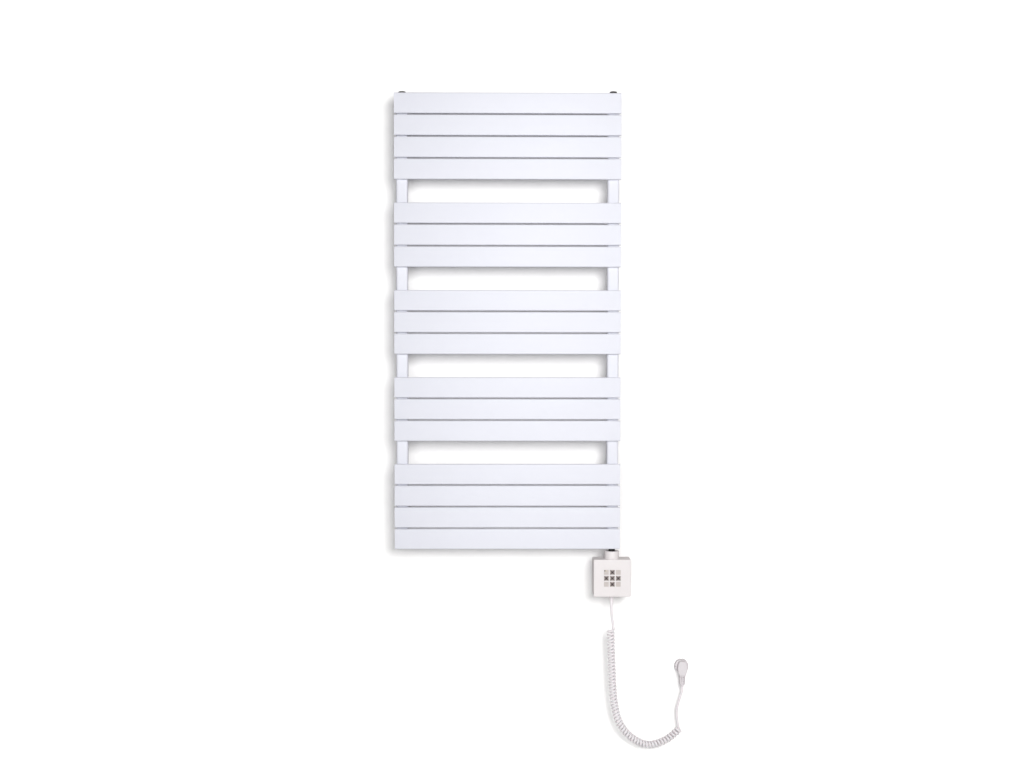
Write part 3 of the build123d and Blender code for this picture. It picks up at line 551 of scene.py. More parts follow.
@dataclass
class Slats:
    """The seventeen flat hollow slats and the plates that close their ends.

    Attributes:
        edge_radius: Rounding of the long edges.
        plate: Thickness of an end plate.
        seam: Depth of the ground-down weld line beside a plate.
        rim: Rounding of a plate's outer rim.
        least_radius: Smallest rounding of a section that is drawn in.
    """

    edge_radius: float = 0.003
    plate: float = 0.0015
    seam: float = 0.00012
    rim: float = 0.0009
    least_radius: float = 0.0004

    def section(self, low: Array, high: Array, shrink: float) -> Array:
        """Rounded section in the Y-Z plane.

        Args:
            low: Lowest corner of the slat.
            high: Its highest corner.
            shrink: How far the section is drawn in.

        Returns:
            The section's points as Y and Z, (n, 2).
        """
        depth, height = (high - low - 2 * shrink)[1:]
        radius = max(self.edge_radius - shrink, self.least_radius)
        return rounded_loop(depth, height, radius) + ((low + high) / 2)[1:]

    def along(self, low: Array, high: Array, stations: Profile) -> Array:
        """Section carried along X.

        Args:
            low: Lowest corner of the slat.
            high: Its highest corner.
            stations: Pairs of X and how far the section is drawn in there.

        Returns:
            Grid of points, closed at both ends.
        """
        return capped(np.array([np.insert(self.section(low, high, shrink), 0, x, axis=1)
                                for x, shrink in stations]))

    def build(self) -> None:
        """Make every slat and the joined set of end plates."""
        plates = []
        turn = quarter_turn(5)
        for name in SLATS:
            low, high = corners(name)
            reach = high[0]
            ends = [(reach, self.seam), (reach - 2 * self.seam, 0.0)]
            stations = [(-x, s) for x, s in ends] + [(x, s) for x, s in reversed(ends)]
            make_piece(f"{name}_tube", [self.along(low, high, stations)], SATIN_WHITE,
                       stands_for=(name,))
            outer = reach + self.plate
            rim = list(zip(outer - self.rim * (1 - np.sin(turn)), self.rim * (1 - np.cos(turn))))
            edge = [(reach, self.seam), (reach + self.seam, 0.0)] + rim
            for side in (-1, 1):
                plates.append(self.along(low, high, [(side * x, s) for x, s in edge]))
        make_piece("slat_end_caps", plates, SATIN_WHITE, stands_for=("slat_end_plates",))


@dataclass
class Uprights:
    """The two D-shaped tubes, their welds to the slats and their end caps.

    Attributes:
        front_radius: Rounding of the two front corners.
        bead_radius: Radius of a weld bead.
        bead_offset: Distance of a bead from the tube's middle.
        bead_sunk: How far its middle lies behind the tube's front.
        bead_short: How far it ends from a slat's edges.
        ripple: Pitch of the ripples in a bead.
        end_line: Height of the drawn-in line at each end of a tube.
        end_scale: Scale of the section at a tube's very end.
    """

    front_radius: float = 0.006
    bead_radius: float = 0.0019
    bead_offset: float = 0.0117
    bead_sunk: float = 0.0007
    bead_short: float = 0.004
    ripple: float = 0.0017
    end_line: float = 0.0004
    end_scale: float = 0.992

    def section(self, low: Array, high: Array) -> Array:
        """Flat front with two rounded corners and a half-round back.

        Args:
            low: Lowest corner of the tube.
            high: Its highest corner.

        Returns:
            The section's points as X and Y, (n, 2).
        """
        half, middle = (high[0] - low[0]) / 2, (low[0] + high[0]) / 2
        back = np.linspace(0.0, np.pi, 40)
        round_back = np.stack([middle + half * np.cos(back), high[1] - half + half * np.sin(back)], 1)
        corner = quarter_turn(9)
        reach, front = half - self.front_radius, low[1] + self.front_radius
        left = np.stack([middle - reach - self.front_radius * np.cos(corner),
                         front - self.front_radius * np.sin(corner)], 1)
        right = np.stack([middle + reach + self.front_radius * np.sin(corner),
                          front - self.front_radius * np.cos(corner)], 1)
        return np.concatenate([round_back, left, right])

    def tube(self, node: str) -> Array:
        """Section carried up the tube, drawn in a little at its two weld lines.

        Args:
            node: The CAD node of the upright.

        Returns:
            Grid of points, closed at both ends.
        """
        low, high = corners(node)
        loop = self.section(low, high)
        middle = loop.mean(axis=0)
        foot, top = low[2], high[2]
        stations = ((foot, self.end_scale), (foot + self.end_line, 1.0),
                    (top - self.end_line, 1.0), (top, self.end_scale))
        return capped(np.array([np.insert(middle + (loop - middle) * scale, 2, z, axis=1)
                                for z, scale in stations]))

    def bead(self, x: float, y: float, low_z: float, high_z: float) -> Array:
        """Upright weld bead: a round bar whose radius ripples by a cosine.

        It closes in by a root over a fourteenth of its length at each end.

        Args:
            x: X of its middle.
            y: Y of its middle.
            low_z: Height of its foot.
            high_z: Height of its top.

        Returns:
            Grid of points, closed at both ends.
        """
        z = np.linspace(low_z, high_z, 4 * int((high_z - low_z) / self.ripple) + 1)
        share = (z - low_z) / (high_z - low_z)
        ends = np.clip(np.minimum(share, 1 - share) * 14, 0.02, 1) ** 0.5
        radius = self.bead_radius * ends * (1 + 0.09 * np.cos(2 * np.pi * z / self.ripple))
        angles = full_turn(10)
        around = (x + np.outer(radius, np.cos(angles)), y + np.outer(radius, np.sin(angles)))
        return capped(np.stack([*around, np.broadcast_to(z[:, None], around[0].shape)], axis=-1))

    def welds(self, node: str) -> list[Array]:
        """Beads on both sides of one upright behind every slat.

        Args:
            node: The CAD node of the upright.

        Returns:
            A closed grid of points for each bead.
        """
        low, high = corners(node)
        middle = (low[0] + high[0]) / 2
        ends = [(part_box(slat)[0][2] + self.bead_short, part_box(slat)[1][2] - self.bead_short)
                for slat in SLATS]
        return [self.bead(middle + side * self.bead_offset, low[1] + self.bead_sunk, foot, top)
                for foot, top in ends for side in (-1, 1)]

    def build(self) -> None:
        """Make both tubes, their beads, and the caps, seals and bosses."""
        for side in ("left", "right"):
            node = f"upright_{side}"
            make_piece(f"{node}_tube", [self.tube(node)], SATIN_WHITE, stands_for=(node,))
            make_piece(f"{node}_welds", self.welds(node), SATIN_WHITE)
        polished_copy("upright_caps", "upright_end_caps", SATIN_WHITE)
        polished_copy("plug_seals", "flat_seals", RUBBER, easing=0)
        polished_copy("upright_bosses", "bracket_bosses", SATIN_WHITE, easing=0)


@dataclass
class EndPlugs:
    """Hexagon plugs in the uprights' ends and the vent screw.

    Attributes:
        flange_radius: Radius of the round flange.
        flange: Thickness of the flange.
        across: Hexagon across its flats.
        bore: Radius of the vent plug's bore.
        bore_end: Height of the bore's end, from the flange's top.
        easing: Rounding of the flange's rim.
    """

    flange_radius: float = 0.013
    flange: float = 0.003
    across: float = 0.019
    bore: float = 0.00305
    bore_end: float = -0.011
    easing: float = 0.0006

    def axis(self, node: str) -> Array:
        """Find where a plug's axis meets its upright's end.

        Args:
            node: The CAD node of the plug.

        Returns:
            That point.
        """
        low, high = corners(node)
        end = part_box("upright_caps")[1 if high[2] > 0 else 0][2]
        return np.array([(low[0] + high[0]) / 2, (low[1] + high[1]) / 2, end])

    def hexagon(self, start: Array, height: float, inner: Sequence[tuple[float, float]]) -> Array:
        """Hexagon head: radius is the lesser of the six flats and a cone at the top.

        Args:
            start: Foot of the head on its axis.
            height: Height of the head.
            inner: Pairs of radius and height that finish the top face.

        Returns:
            Grid of points, closed at both ends.
        """
        angles = full_turn(96)
        flats = self.across / 2 / np.cos((angles + np.pi / 6) % (np.pi / 3) - np.pi / 6)
        down = np.array([height, height * 0.5, 0.0012, 0.0009, 0.0006, 0.0003, 0.0])
        cone = self.across / 2 * 0.97 + down[:, None] * math.sqrt(3)
        face = np.array(inner)
        radius = np.concatenate([np.minimum(flats, cone), np.tile(face[:, :1], len(angles))])
        z = np.concatenate([height - down, face[:, 1]])[:, None]
        rows = np.stack([radius * np.cos(angles), radius * np.sin(angles),
                         np.broadcast_to(z, radius.shape)], axis=-1)
        return capped(rows + start)

    def flange_disc(self, start: Array, hole: float = 0.0) -> Array:
        """Turned flange with an eased rim.

        Args:
            start: Foot of the flange on its axis.
            hole: Radius of the hole in its middle, 0 for none.

        Returns:
            Closed grid of points.
        """
        rim = eased_rim(self.flange_radius, self.flange, self.easing)
        profile = [(hole, 0.0), (self.flange_radius, 0.0), *rim, (hole, self.flange)]
        return lathe(profile, start, Direction.UP, ring=hole > 0)

    def build(self) -> None:
        """Make the top plug, the vent plug and its screw, and the flush bottom plug."""
        sink = np.array([0.0, 0.0, 0.0002])
        lift = np.array([0.0, 0.0, self.flange])
        top, vent = self.axis("top_plug"), self.axis("vent_plug")
        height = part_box("top_plug")[1][2] - top[2] - self.flange
        dish = [(self.across * 0.3, height), (self.across * 0.26, height - 0.0005)]
        make_piece("top_plug_head", [self.flange_disc(top),
                                     self.hexagon(top + lift - sink, height + sink[2], dish)],
                   CHROME, stands_for=("top_plug",))
        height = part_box("vent_plug")[1][2] - vent[2] - self.flange
        hole = [(self.bore + 0.0004, height), (self.bore, height - 0.0004),
                (self.bore, self.bore_end)]
        make_piece("vent_plug_head", [self.flange_disc(vent, self.bore + 0.0012),
                                      self.hexagon(vent + lift, height, hole)],
                   CHROME, stands_for=("vent_plug",))
        polished_copy("vent_screw", "vent_screw_slotted", VENT_WHITE, easing=0.0003)
        polished_copy("bottom_plug", "bottom_plug_flush", CHROME, easing=0.0003)


@dataclass
class WallBrackets:
    """Four brackets behind the uprights: base with spigot, sleeve, bolt and grub screw.

    Attributes:
        base_radius: Radius of the round base on the wall.
        base: Thickness of the base.
        spigot: Radius of the spigot.
        spigot_end: Distance of the spigot's end from the wall.
        hole: Radius of the wall screw's hole.
        countersink: How far the hole widens at its front.
        fillet: Radius of the fillet between base and spigot.
        wall: Wall of the spigot.
        rim: Rounding of the base's rim.
    """

    base_radius: float = 0.019
    base: float = 0.005
    spigot: float = 0.008
    spigot_end: float = 0.021
    hole: float = 0.00275
    countersink: float = 0.0025
    fillet: float = 0.0012
    wall: float = 0.00225
    rim: float = 0.0014

    def flange(self, x: float, z: float) -> Array:
        """Turned base: eased rim, small fillet at the spigot, countersunk screw hole.

        Args:
            x: X of its axis.
            z: Height of its axis.

        Returns:
            Closed grid of points.
        """
        turn = quarter_turn(5)
        foot = zip(self.spigot + self.fillet * (1 - np.sin(turn)),
                   self.base + self.fillet * (1 - np.cos(turn)))
        bore = self.spigot - self.wall
        profile = [(self.hole, 0.0), (self.base_radius, 0.0),
                   *eased_rim(self.base_radius, self.base, self.rim), *foot,
                   (self.spigot, self.spigot_end), (bore, self.spigot_end), (bore, self.base),
                   (self.hole + self.countersink, self.base), (self.hole, self.base - 0.0026)]
        return lathe(profile, (x, 0.0, z), Direction.FRONT, ring=True)

    def build(self) -> None:
        """Make the bases and dress the parts that carry the rail on them."""
        low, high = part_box("bracket_bases")
        reach_x, reach_z = high[0] - self.base_radius, high[2] - self.base_radius
        bases = [self.flange(x, z) for x in (-reach_x, reach_x) for z in (-reach_z, reach_z)]
        make_piece("bracket_wall_bases", bases, BRACKET_PLASTIC, stands_for=("bracket_bases",))
        polished_copy("bracket_sleeves", "bracket_sleeves_painted", BRACKET_WHITE, easing=0.0004)
        polished_copy("bracket_bolts", "bracket_socket_bolts", ZINC, easing=0.0003)
        polished_copy("bracket_grub_screws", "bracket_set_screws", ZINC, easing=0)


@dataclass
class ElementCollar:
    """The element's dark stem and the white collar below the rail.

    Attributes:
        radius: Outer radius of the collar.
        wall: Its wall.
        top: Thickness of its top.
        opening: Radius of the opening round the stem.
        rim: Rounding of its top edge.
        groove: Depth of the shadow groove above the housing.
        groove_low: Height of the groove's foot.
        groove_high: Height of its top.
        bevel: Width of the groove's and the opening's small bevels.
    """

    radius: float = 0.020
    wall: float = 0.002
    top: float = 0.0022
    opening: float = 0.01088
    rim: float = 0.0014
    groove: float = 0.0004
    groove_low: float = 0.0011
    groove_high: float = 0.0021
    bevel: float = 0.0002

    def build(self) -> None:
        """Make the collar with a shadow groove above the housing, and dress the stem."""
        low, high = corners("collar")
        middle = (low + high) / 2
        height = high[2] - low[2]
        groove, inside = self.radius - self.groove, self.radius - self.wall
        profile = [(self.radius, 0.0), (self.radius, self.groove_low),
                   (groove, self.groove_low + self.bevel), (groove, self.groove_high - self.bevel),
                   (self.radius, self.groove_high), *eased_rim(self.radius, height, self.rim, 7),
                   (self.opening + 3 * self.bevel, height),
                   (self.opening, height - 3 * self.bevel), (self.opening, height - self.top),
                   (inside, height - self.top), (inside, 0.0)]
        start = (middle[0], middle[1], low[2])
        make_piece("element_collar", [lathe(profile, start, Direction.UP, 96, ring=True)],
                   HOUSING, stands_for=("collar",))
        polished_copy("element_plug", "element_stem", NEAR_BLACK_STEM, easing=0.0003)


@dataclass
class Controller:
    """Square controller: two covers, a cross of keys, corner windows and the cord's relief.

    Attributes:
        key: Size of a key top.
        key_corner: Corner radius of a key top.
        key_front: Y of the key tops.
        dish: How far a key top is hollowed.
        star_reach: Half size of the dark star on a key.
        star_waist: Half width of the star at its waist.
        star_height: How far the star stands out.
        dot_radius: Radius of the dark pip on a star.
        pilot_radius: Radius of the pilot lamp.
        pilot_step: Distance of the pilot lamp from the receiver.
        lens_dome: Height of the dome on the receiver's lens.
        relief_top: Radius of the strain relief at the housing.
        relief_end: Its radius at its end.
        ring_place: Distance of its first groove from the housing.
        ring_pitch: Distance between two grooves.
        ring_depth: Scale of the grooves' depth.
        keys: Names of the keys.
    """

    key: float = 0.0126
    key_corner: float = 0.0008
    key_front: float = -0.0841
    dish: float = 0.00008
    star_reach: float = 0.0059
    star_waist: float = 0.0032
    star_height: float = 0.0004
    dot_radius: float = 0.0017
    pilot_radius: float = 0.0009
    pilot_step: float = 0.0032
    lens_dome: float = 0.0005
    relief_top: float = 0.00525
    relief_end: float = 0.0045
    ring_place: float = 0.005
    ring_pitch: float = 0.0036
    ring_depth: float = 0.0011
    keys: tuple[str, ...] = ("up", "left", "centre", "right", "down")

    def pad(self, x: float, z: float, back: float, hollow: float) -> Array:
        """Square pad with eased edges: rounded squares carried forward and drawn in.

        Args:
            x: Middle of the pad.
            z: Middle height of the pad.
            back: Y of its back.
            hollow: How far the middle of its face lies behind the rim.

        Returns:
            Closed grid of points.
        """
        front = self.key_front
        steps = [(0.0, back), (0.0, front + 0.0005), (0.00006, front + 0.00022),
                 (0.0002, front + 0.00006), (0.0005, front), (0.0016, front + hollow * 0.6),
                 (0.0035, front + hollow)]
        rows = []
        for inset, y in steps:
            size = self.key - 2 * inset
            loop = rounded_loop(size, size, max(self.key_corner - inset, 0.0002))
            rows.append(np.column_stack([loop[:, 0] + x, np.full(len(loop), y), loop[:, 1] + z]))
        return capped(np.array(rows))

    def star(self, x: float, z: float) -> Array:
        """Raised star: a square whose sides dip by a squared cosine, domed at its edge.

        Args:
            x: Middle of the key.
            z: Middle height of the key.

        Returns:
            Closed grid of points.
        """
        side = np.linspace(-1.0, 1.0, 21)[:-1]
        dip = (self.star_reach - self.star_waist) * np.cos(np.pi * side / 2) ** 2
        edge = np.stack([side * self.star_reach, self.star_reach - dip], axis=1)
        turns = [np.array([[c, -s], [s, c]]) for c, s in ((1, 0), (0, -1), (-1, 0), (0, 1))]
        loop = np.concatenate([edge @ turn.T for turn in turns])
        front = self.key_front - self.star_height
        steps = [(1.0, self.key_front + 0.0003), (1.0, front + 0.0002), (0.985, front + 0.00006),
                 (0.95, front), (0.55, front + 0.00002)]
        rows = [np.column_stack([loop[:, 0] * scale + x, np.full(len(loop), y),
                                 loop[:, 1] * scale + z]) for scale, y in steps]
        return capped(np.array(rows))

    def dot(self, x: float, z: float) -> Array:
        """Round pip in the middle of a star: a low dome.

        Args:
            x: Middle of the key.
            z: Middle height of the key.

        Returns:
            Closed grid of points.
        """
        start = (x, self.key_front - self.star_height + 0.0003, z)
        return lathe(low_dome(self.dot_radius, 0.0003, 0.00018), start, Direction.FRONT, 32)

    @staticmethod
    def middle(node: str) -> tuple[float, float]:
        """Middle of a node's box in X and Z."""
        low, high = corners(node)
        return (low[0] + high[0]) / 2, (low[2] + high[2]) / 2

    def build_keys(self) -> None:
        """Make each key's pale top and dark star, both riding on the key's own body."""
        for name in self.keys:
            node = f"key_{name}"
            x, z = self.middle(node)
            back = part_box(node)[1][1]
            make_piece(f"{node}_top", [self.pad(x, z, back, self.dish)], KEY_TOP, node, (node,))
            make_piece(f"{node}_star", [self.star(x, z)], KEY_MARK, node)
            make_piece(f"{node}_dot", [self.dot(x, z)], KEY_DOT, node)

    def build_windows(self) -> None:
        """Make the four corner windows, the receiver's lens and the pilot lamp beside it."""
        x, z = self.middle("key_centre")
        pitch = x - self.middle("key_left")[0]
        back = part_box("corner_windows")[1][1]
        pads = [self.pad(x + i * pitch, z + j * pitch, back, 0.0) for i in (-1, 1) for j in (-1, 1)]
        make_piece("keypad_windows", pads, WINDOW, stands_for=("corner_windows",))
        low, high = corners("receiver_lens")
        radius = (high[0] - low[0]) / 2
        side = high[1] - low[1] - self.lens_dome
        turn = np.linspace(0.2, 1.5, 6)
        dome = zip(radius * np.cos(turn), side + self.lens_dome * np.sin(turn))
        lens = [(0.0, 0.0), (radius, 0.0), (radius, side), *dome, (0.0, side + self.lens_dome)]
        x, z = self.middle("receiver_lens")
        make_piece("receiver_dome", [lathe(lens, (x, high[1], z), Direction.FRONT, 32)], LENS,
                   stands_for=("receiver_lens",))
        pilot = lathe(low_dome(self.pilot_radius, 0.0005, 0.0003),
                      (x + self.pilot_step, self.key_front + 0.0005, z), Direction.FRONT, 24)
        make_piece("pilot_lamp", [pilot], PILOT)

    def build_relief(self) -> None:
        """Make the ribbed strain relief: a taper whose radius dips at each groove."""
        low, high = corners("strain_relief")
        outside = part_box("front_cover")[0][2]
        length = outside - low[2]
        down = np.linspace(0.0, length, 141)
        taper = self.relief_top + (self.relief_end - self.relief_top) * down / length
        place = (down - self.ring_place) / self.ring_pitch
        groove = np.clip(1.6 * np.cos(2 * np.pi * place) - 0.7, 0.0, 0.8) * self.ring_depth
        ribbed = np.where((down > 0.003) & (down < length - 0.003), groove, 0.0)
        rim = 0.0006 * np.clip(1 - (length - down) / 0.0006, 0.0, 1.0) ** 2
        inner_end, lip, shaft = -0.0045, 0.008, 0.006
        profile = [(0.0, inner_end), (lip, inner_end), (lip, inner_end + 0.002),
                   (shaft, inner_end + 0.002), (shaft, 0.0),
                   *zip(taper - ribbed - rim, down), (0.0, length)]
        start = ((low[0] + high[0]) / 2, (low[1] + high[1]) / 2, outside)
        make_piece("cord_relief", [lathe(profile, start, Direction.DOWN, 48)], JACKET,
                   stands_for=("strain_relief",))

    def build(self) -> None:
        """Make the covers and everything on them."""
        polished_copy("front_cover", "front_cover_shell", HOUSING, easing=0.00015)
        polished_copy("rear_cover", "rear_cover_shell", HOUSING, easing=0.0003)
        polished_copy("housing_screws", "rear_cover_screws", ZINC, easing=0)
        self.build_keys()
        self.build_windows()
        self.build_relief()


@dataclass
class MainsLead:
    """The mains lead: a straight start, fifty curls round a hanging loop, a straight end.

    Attributes:
        diameter: Diameter of the jacket.
        radius: Radius of a curl at the jacket's middle.
        turns: Number of curls.
        per_turn: Points in each curl.
        length: Length of the whole lead; not used.
        upper: Route from the relief to the first curl.
        middle: Route that the curls wind round.
        lower: Route from the last curl to the plug.
    """

    diameter: float = 0.0065
    radius: float = 0.007
    turns: float = 50.75
    per_turn: int = 12
    length: float = 2.47
    upper: tuple[Point, ...] = (
        (0.2805, -0.0595, -0.7551), (0.2805, -0.0595, -0.7765), (0.2823, -0.0546, -0.7963),
        (0.2861, -0.0527, -0.8148))
    middle: tuple[Point, ...] = (
        (0.2790, -0.0590, -0.8270), (0.2800, -0.0589, -0.8720), (0.2822, -0.0586, -0.9250),
        (0.2845, -0.0583, -0.9780), (0.2888, -0.0577, -1.0280), (0.2995, -0.0560, -1.0760),
        (0.3220, -0.0521, -1.1110), (0.3530, -0.0467, -1.1360), (0.3870, -0.0407, -1.1485),
        (0.4200, -0.0349, -1.1415), (0.4480, -0.0299, -1.1280), (0.4705, -0.0260, -1.1075))
    lower: tuple[Point, ...] = (
        (0.4667, -0.0193, -1.0956), (0.4650, -0.0194, -1.0817), (0.4636, -0.0198, -1.0665),
        (0.4646, -0.0203, -1.0505), (0.4684, -0.0206, -1.0345), (0.4736, -0.0208, -1.0190),
        (0.4780, -0.0208, -1.0045), (0.4780, -0.0208, -0.9890))

    @staticmethod
    def spline(name: str, points: Array) -> bpy.types.Curve:
        """Curve of one open NURBS spline that reaches its end points.

        Args:
            name: The curve's name.
            points: Its control points, (n, 3).

        Returns:
            The curve.
        """
        curve = bpy.data.curves.new(name, "CURVE")
        curve.dimensions = "3D"
        line = curve.splines.new("NURBS")
        line.points.add(len(points) - 1)
        weighted = np.column_stack([points, np.ones(len(points))])
        line.points.foreach_set("co", weighted.ravel())
        line.order_u = 3
        line.use_endpoint_u = True
        return curve

    def read_route(self) -> Array:
        """Work out the middle route's own spline, as Blender evaluates it.

        Returns:
            Points along it, (n, 3).
        """
        curve = self.spline("curl_route", np.array(self.middle))
        curve.resolution_u = 24
        guide = linked("curl_route", curve)
        bpy.context.view_layer.update()
        mesh = bpy.data.meshes.new_from_object(guide)
        points = np.empty(len(mesh.vertices) * 3)
        mesh.vertices.foreach_get("co", points)
        bpy.data.objects.remove(guide)
        bpy.data.meshes.remove(mesh)
        bpy.data.curves.remove(curve)
        return points.reshape(-1, 3)

    def curls(self) -> Array:
        """Right-handed curls: route point + radius (inward cos + across sin) of the turn.

        Returns:
            Control points of the curls, (n, 3), pushed out so that the spline has the radius.
        """
        route = self.read_route()
        run = np.concatenate([[0.0], np.cumsum(np.linalg.norm(np.diff(route, axis=0), axis=1))])
        turn = np.linspace(0.0, self.turns, round(self.turns * self.per_turn) + 1)
        place = turn / self.turns * run[-1]
        centre = np.column_stack([np.interp(place, run, route[:, k]) for k in range(3)])
        slope = np.gradient(route, run, axis=0)
        along = np.column_stack([np.interp(place, run, slope[:, k]) for k in range(3)])
        along /= np.linalg.norm(along, axis=1, keepdims=True)
        top, foot = np.array(self.middle[0]), np.array(self.middle[-1])
        normal = np.array([top[1] - foot[1], foot[0] - top[0], 0.0])
        normal /= np.linalg.norm(normal)
        inward = np.cross(along, normal)
        inward /= np.linalg.norm(inward, axis=1, keepdims=True)
        across = np.cross(along, inward)
        angle = 2 * np.pi * turn[:, None]
        reach = self.radius / math.cos(math.pi / self.per_turn)
        return centre + reach * (inward * np.cos(angle) + across * np.sin(angle))

    def build(self, pieces: Sequence[bpy.types.Object]) -> None:
        """Args:
            pieces: The plug's pieces at its far end; not used.
        """
        points = np.concatenate([np.array(self.upper), self.curls(), np.array(self.lower)])
        curve = self.spline("mains_lead", points)
        curve.resolution_u = 3
        curve.bevel_depth = self.diameter / 2
        curve.bevel_resolution = 5
        curve.use_fill_caps = True
        lead = add_piece("mains_lead", curve, JACKET, RAIL,
                         ("cord_upper", "cord_coil", "cord_lower"))
        log.info("mains_lead: %d control points", len(points))


@dataclass
class Plug:
    """Angled mains plug: round base, faceted hump, slotted tail, two pins and earth clips.

    Attributes:
        x: Middle of the base.
        z: Middle height of the base.
        radius: Radius of the base.
        back: Y of the base's contact face.
        front: Y of the base's front.
        tail_y: Y of the tail's middle, where the lead enters.
        groove_half: Half width of the flat grooves at the base's left and right.
        groove_reach: Their distance from the middle.
        recess_half: Half width of the clips' recesses at the top and bottom.
        recess_reach: Their distance from the middle.
        crown: Height of the hump's top above the middle.
        crown_round: Height of the round at its top.
        crown_inset: How far the hump draws in there.
        widest: Height of the hump's widest place above the middle.
        wide_half: Half width there.
        hump_rise: Half height of the ellipse above it.
        hump_deep: Depth of the hump in front of the tail's middle.
        shoulder: Height where the hump starts to fall to the tail.
        neck: Height where the tail begins.
        tail_half: Half width of the tail there.
        tail_deep: Half depth of the tail.
        tail_end: Height of its end.
        sleeve_top: Height where the sleeve round the lead begins.
        sleeve_end: Height of the sleeve's end.
        sleeve_radius: Radius of the sleeve.
        slots_from: Height where the slices get closer together for the slots.
        slot_depth: Depth of the tail's slots.
        slot_side: Distance of a slot from the middle.
        slot_half: Half of its width.
        slot_low: Height of the lowest row of slots.
        slot_pitch: Distance between two rows.
        slot_tall: Half of a slot's height.
        pin_radius: Radius of a contact pin.
        pin_reach: Length of a pin.
        pin_inside: Length of a pin inside the base.
        pin_side: Distance of a pin from the middle.
        pin_tip: Rounding of its tip.
    """

    x: float = 0.478
    z: float = -0.939
    radius: float = 0.0187
    back: float = -0.0005
    front: float = -0.0145
    tail_y: float = -0.0208
    groove_half: float = 0.002
    groove_reach: float = 0.0171
    recess_half: float = 0.0031
    recess_reach: float = 0.0163
    crown: float = 0.017
    crown_round: float = 0.002
    crown_inset: float = 0.0024
    widest: float = -0.0026
    wide_half: float = 0.0130
    hump_rise: float = 0.0225
    hump_deep: float = 0.0102
    shoulder: float = -0.019
    neck: float = -0.030
    tail_half: float = 0.0078
    tail_deep: float = 0.0065
    tail_end: float = -0.0473
    sleeve_top: float = -0.0484
    sleeve_end: float = -0.053
    sleeve_radius: float = 0.00425
    slots_from: float = -0.0235
    slot_depth: float = 0.0044
    slot_side: float = 0.0036
    slot_half: float = 0.0023
    slot_low: float = -0.0437
    slot_pitch: float = 0.0059
    slot_tall: float = 0.0017
    pin_radius: float = 0.0024
    pin_reach: float = 0.019
    pin_inside: float = 0.004
    pin_side: float = 0.0095
    pin_tip: float = 0.0016

    def base(self) -> Array:
        """Round base: a lathe whose radius stops at flat grooves and at the clips' recesses.

        Returns:
            Closed grid of points.
        """
        angles = np.sort(np.concatenate([full_turn(240), self.groove_edges()]))
        thick = self.back - self.front
        rim = np.array(eased_rim(self.radius, thick, 0.001))
        sides = np.array([[0.0, 0.0], [0.9, 0.0], [0.985, 0.0], [1.0, 0.0003], [1.0, 0.0125],
                          [1.0, 0.01301]])
        heights = np.concatenate([sides[:, 1], rim[:, 1], [thick]])[:, None]
        share = np.concatenate([sides[:, 0], rim[:, 0] / self.radius, [0.0]])[:, None]
        cosine, sine = np.abs(np.cos(angles)), np.abs(np.sin(angles))
        groove = np.where(self.radius * sine < self.groove_half,
                          self.groove_reach / np.maximum(cosine, 0.1), self.radius)
        recess = np.where(self.radius * cosine < self.recess_half,
                          self.recess_reach / np.maximum(sine, 0.1), self.radius)
        outline = np.where(heights < 0.013, np.minimum(groove, recess), groove)
        radius = np.minimum(share * self.radius, outline)
        return np.stack([self.x + radius * np.cos(angles),
                         np.broadcast_to(self.back - heights, radius.shape),
                         self.z + radius * np.sin(angles)], axis=-1)

    def groove_edges(self) -> Array:
        """Work out the angles of the grooves' and recesses' steep walls.

        Returns:
            Angles just inside and just outside each wall.
        """
        groove = math.asin(self.groove_half / self.radius)
        recess = math.asin(self.recess_half / self.radius)
        middles = ((0.0, groove), (np.pi, groove), (np.pi / 2, recess), (-np.pi / 2, recess))
        near = np.array([-0.0015, 0.0015])
        edges = [middle + side * half + near for middle, half in middles for side in (-1, 1)]
        return np.concatenate(edges) % (2 * np.pi)

    def heights(self) -> Array:
        """Space the slices from the crown down, closer together at rounds and slots.

        Returns:
            Their heights.
        """
        below_round = self.crown - self.crown_round - 0.0005
        return np.concatenate([self.crown - self.crown_round * (1 - np.cos(quarter_turn(7))),
                               np.linspace(below_round, self.slots_from, 60),
                               np.linspace(self.slots_from - 0.0002, self.tail_end, 119),
                               self.tail_end - 0.0008 * np.sin(np.linspace(0.1, np.pi / 2, 5)),
                               np.linspace(self.sleeve_top, self.sleeve_end, 5)])

    def half_widths(self, z: Array) -> Array:
        """Ellipse above the widest height, and a cosine from there to the tail.

        Args:
            z: Heights of the slices.

        Returns:
            Half the width of each slice.
        """
        ends = [self.sleeve_end, self.sleeve_top, self.sleeve_top + 0.0003, self.tail_end, self.neck]
        tail = np.interp(z, ends, [self.sleeve_radius, self.sleeve_radius, 0.0058, 0.0071,
                                   self.tail_half])
        rise = np.clip((z - self.widest) / self.hump_rise, 0.0, 1.0)
        fall = np.clip((self.widest - z) / (self.widest - self.neck), 0.0, 1.0)
        below = tail + (self.wide_half - self.tail_half) * (1 + np.cos(np.pi * fall)) / 2
        return np.where(z > self.widest, self.wide_half * np.sqrt(1 - rise ** 2), below)

